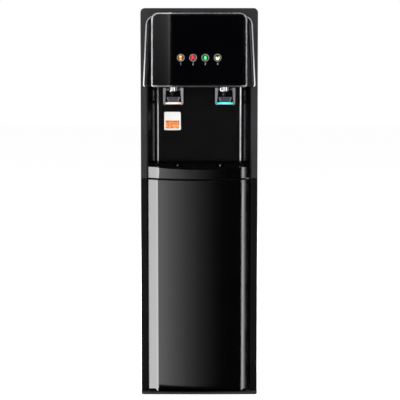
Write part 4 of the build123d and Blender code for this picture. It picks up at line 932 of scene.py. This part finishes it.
def makeFlatCard(name, look):
    left, right = look["across"]
    low, high = look["up"]
    deselectAll()
    bpy.ops.mesh.primitive_plane_add(
        size=1, location=((left + right) / 2, look["y"], (low + high) / 2),
        rotation=(radians(90), 0, 0),
    )
    card = bpy.context.object
    card.scale = (right - left, high - low, 1)
    material, tree = newMaterial(name)
    place = addNode(tree, "ShaderNodeTexCoord").outputs["Object"]
    axes = addNode(tree, "ShaderNodeSeparateXYZ", {"Vector": place})
    across = levelAlong(tree, axes.outputs["X"], look["levels"])
    fade = levelAlong(tree, axes.outputs["Z"], look["fade"])
    product = addNode(tree, "ShaderNodeMath", {0: across, 1: fade}, operation="MULTIPLY")
    total = product.outputs["Value"]
    if "window" in look:
        total = windowLight(tree, axes, look["window"], total)
    cardLight(tree, total)
    settle(card, name, material)
    onlyReflected(card)


# lamps: places and sizes in metres, power in watts
lamps = {
    "leftKey": {"place": (-2.1, -2.4, 2.2), "aim": (0, 0, 0.6), "size": (1.4, 1.8), "power": 36},
    "rightFill": {"place": (2.3, -2.0, 1.8), "aim": (0, 0, 0.6), "size": (1.2, 1.6), "power": 20},
    "frontFill": {"place": (-0.2, -3.4, 1.3), "aim": (0, 0, 0.7), "size": (1.0, 1.0), "power": 72},
    "topLight": {"place": (0, 0.3, 3.0), "aim": (0, 0, 0.5), "size": (1.6, 1.6), "power": 25},
    "rearLight": {"place": (-1.2, 2.8, 2.0), "aim": (0, 0, 0.6), "size": (1.6, 1.6), "power": 110},
    "sideLight": {
        "place": (2.4, 0.7, 1.7), "aim": (0.15, 0.2, 0.7), "size": (1.0, 1.6), "power": 55,
    },
}


def makeLamp(name, look):
    lamp = bpy.data.lights.new(name, "AREA")
    lamp.shape = "RECTANGLE"
    lamp.size, lamp.size_y = look["size"]
    lamp.energy = look["power"]
    holder = bpy.data.objects.new(name, lamp)
    bpy.context.scene.collection.objects.link(holder)
    holder.location = look["place"]
    way = Vector(look["aim"]) - Vector(look["place"])
    holder.rotation_euler = way.to_track_quat("-Z", "Y").to_euler()
    holder.visible_camera = False
    holder.visible_glossy = False


makeSurround(studio)
makeFloor(studio)
makeFrontDrum(frontDrum)
for name, look in flatCards.items():
    makeFlatCard(name, look)
for name, look in lamps.items():
    makeLamp(name, look)
print("studio ready")


# camera at the height of the head, tilted down a little to the middle of the cabinet

view = {
    "place": (0, -3.781, 0.858), "tilt": 5.16, "lens": 122.8, "shift": 0.002, "sensor": 36,
    "far": 100,
}
lens = bpy.data.cameras.new("frontCamera")
lens.lens = view["lens"]
lens.sensor_width = view["sensor"]
lens.shift_x = view["shift"]
lens.clip_end = view["far"]
camera = bpy.data.objects.new("frontCamera", lens)
bpy.context.scene.collection.objects.link(camera)
camera.location = view["place"]
camera.rotation_euler = (radians(90 - view["tilt"]), 0, 0)
bpy.context.scene.camera = camera
bpy.context.scene.view_settings.view_transform = "Standard"
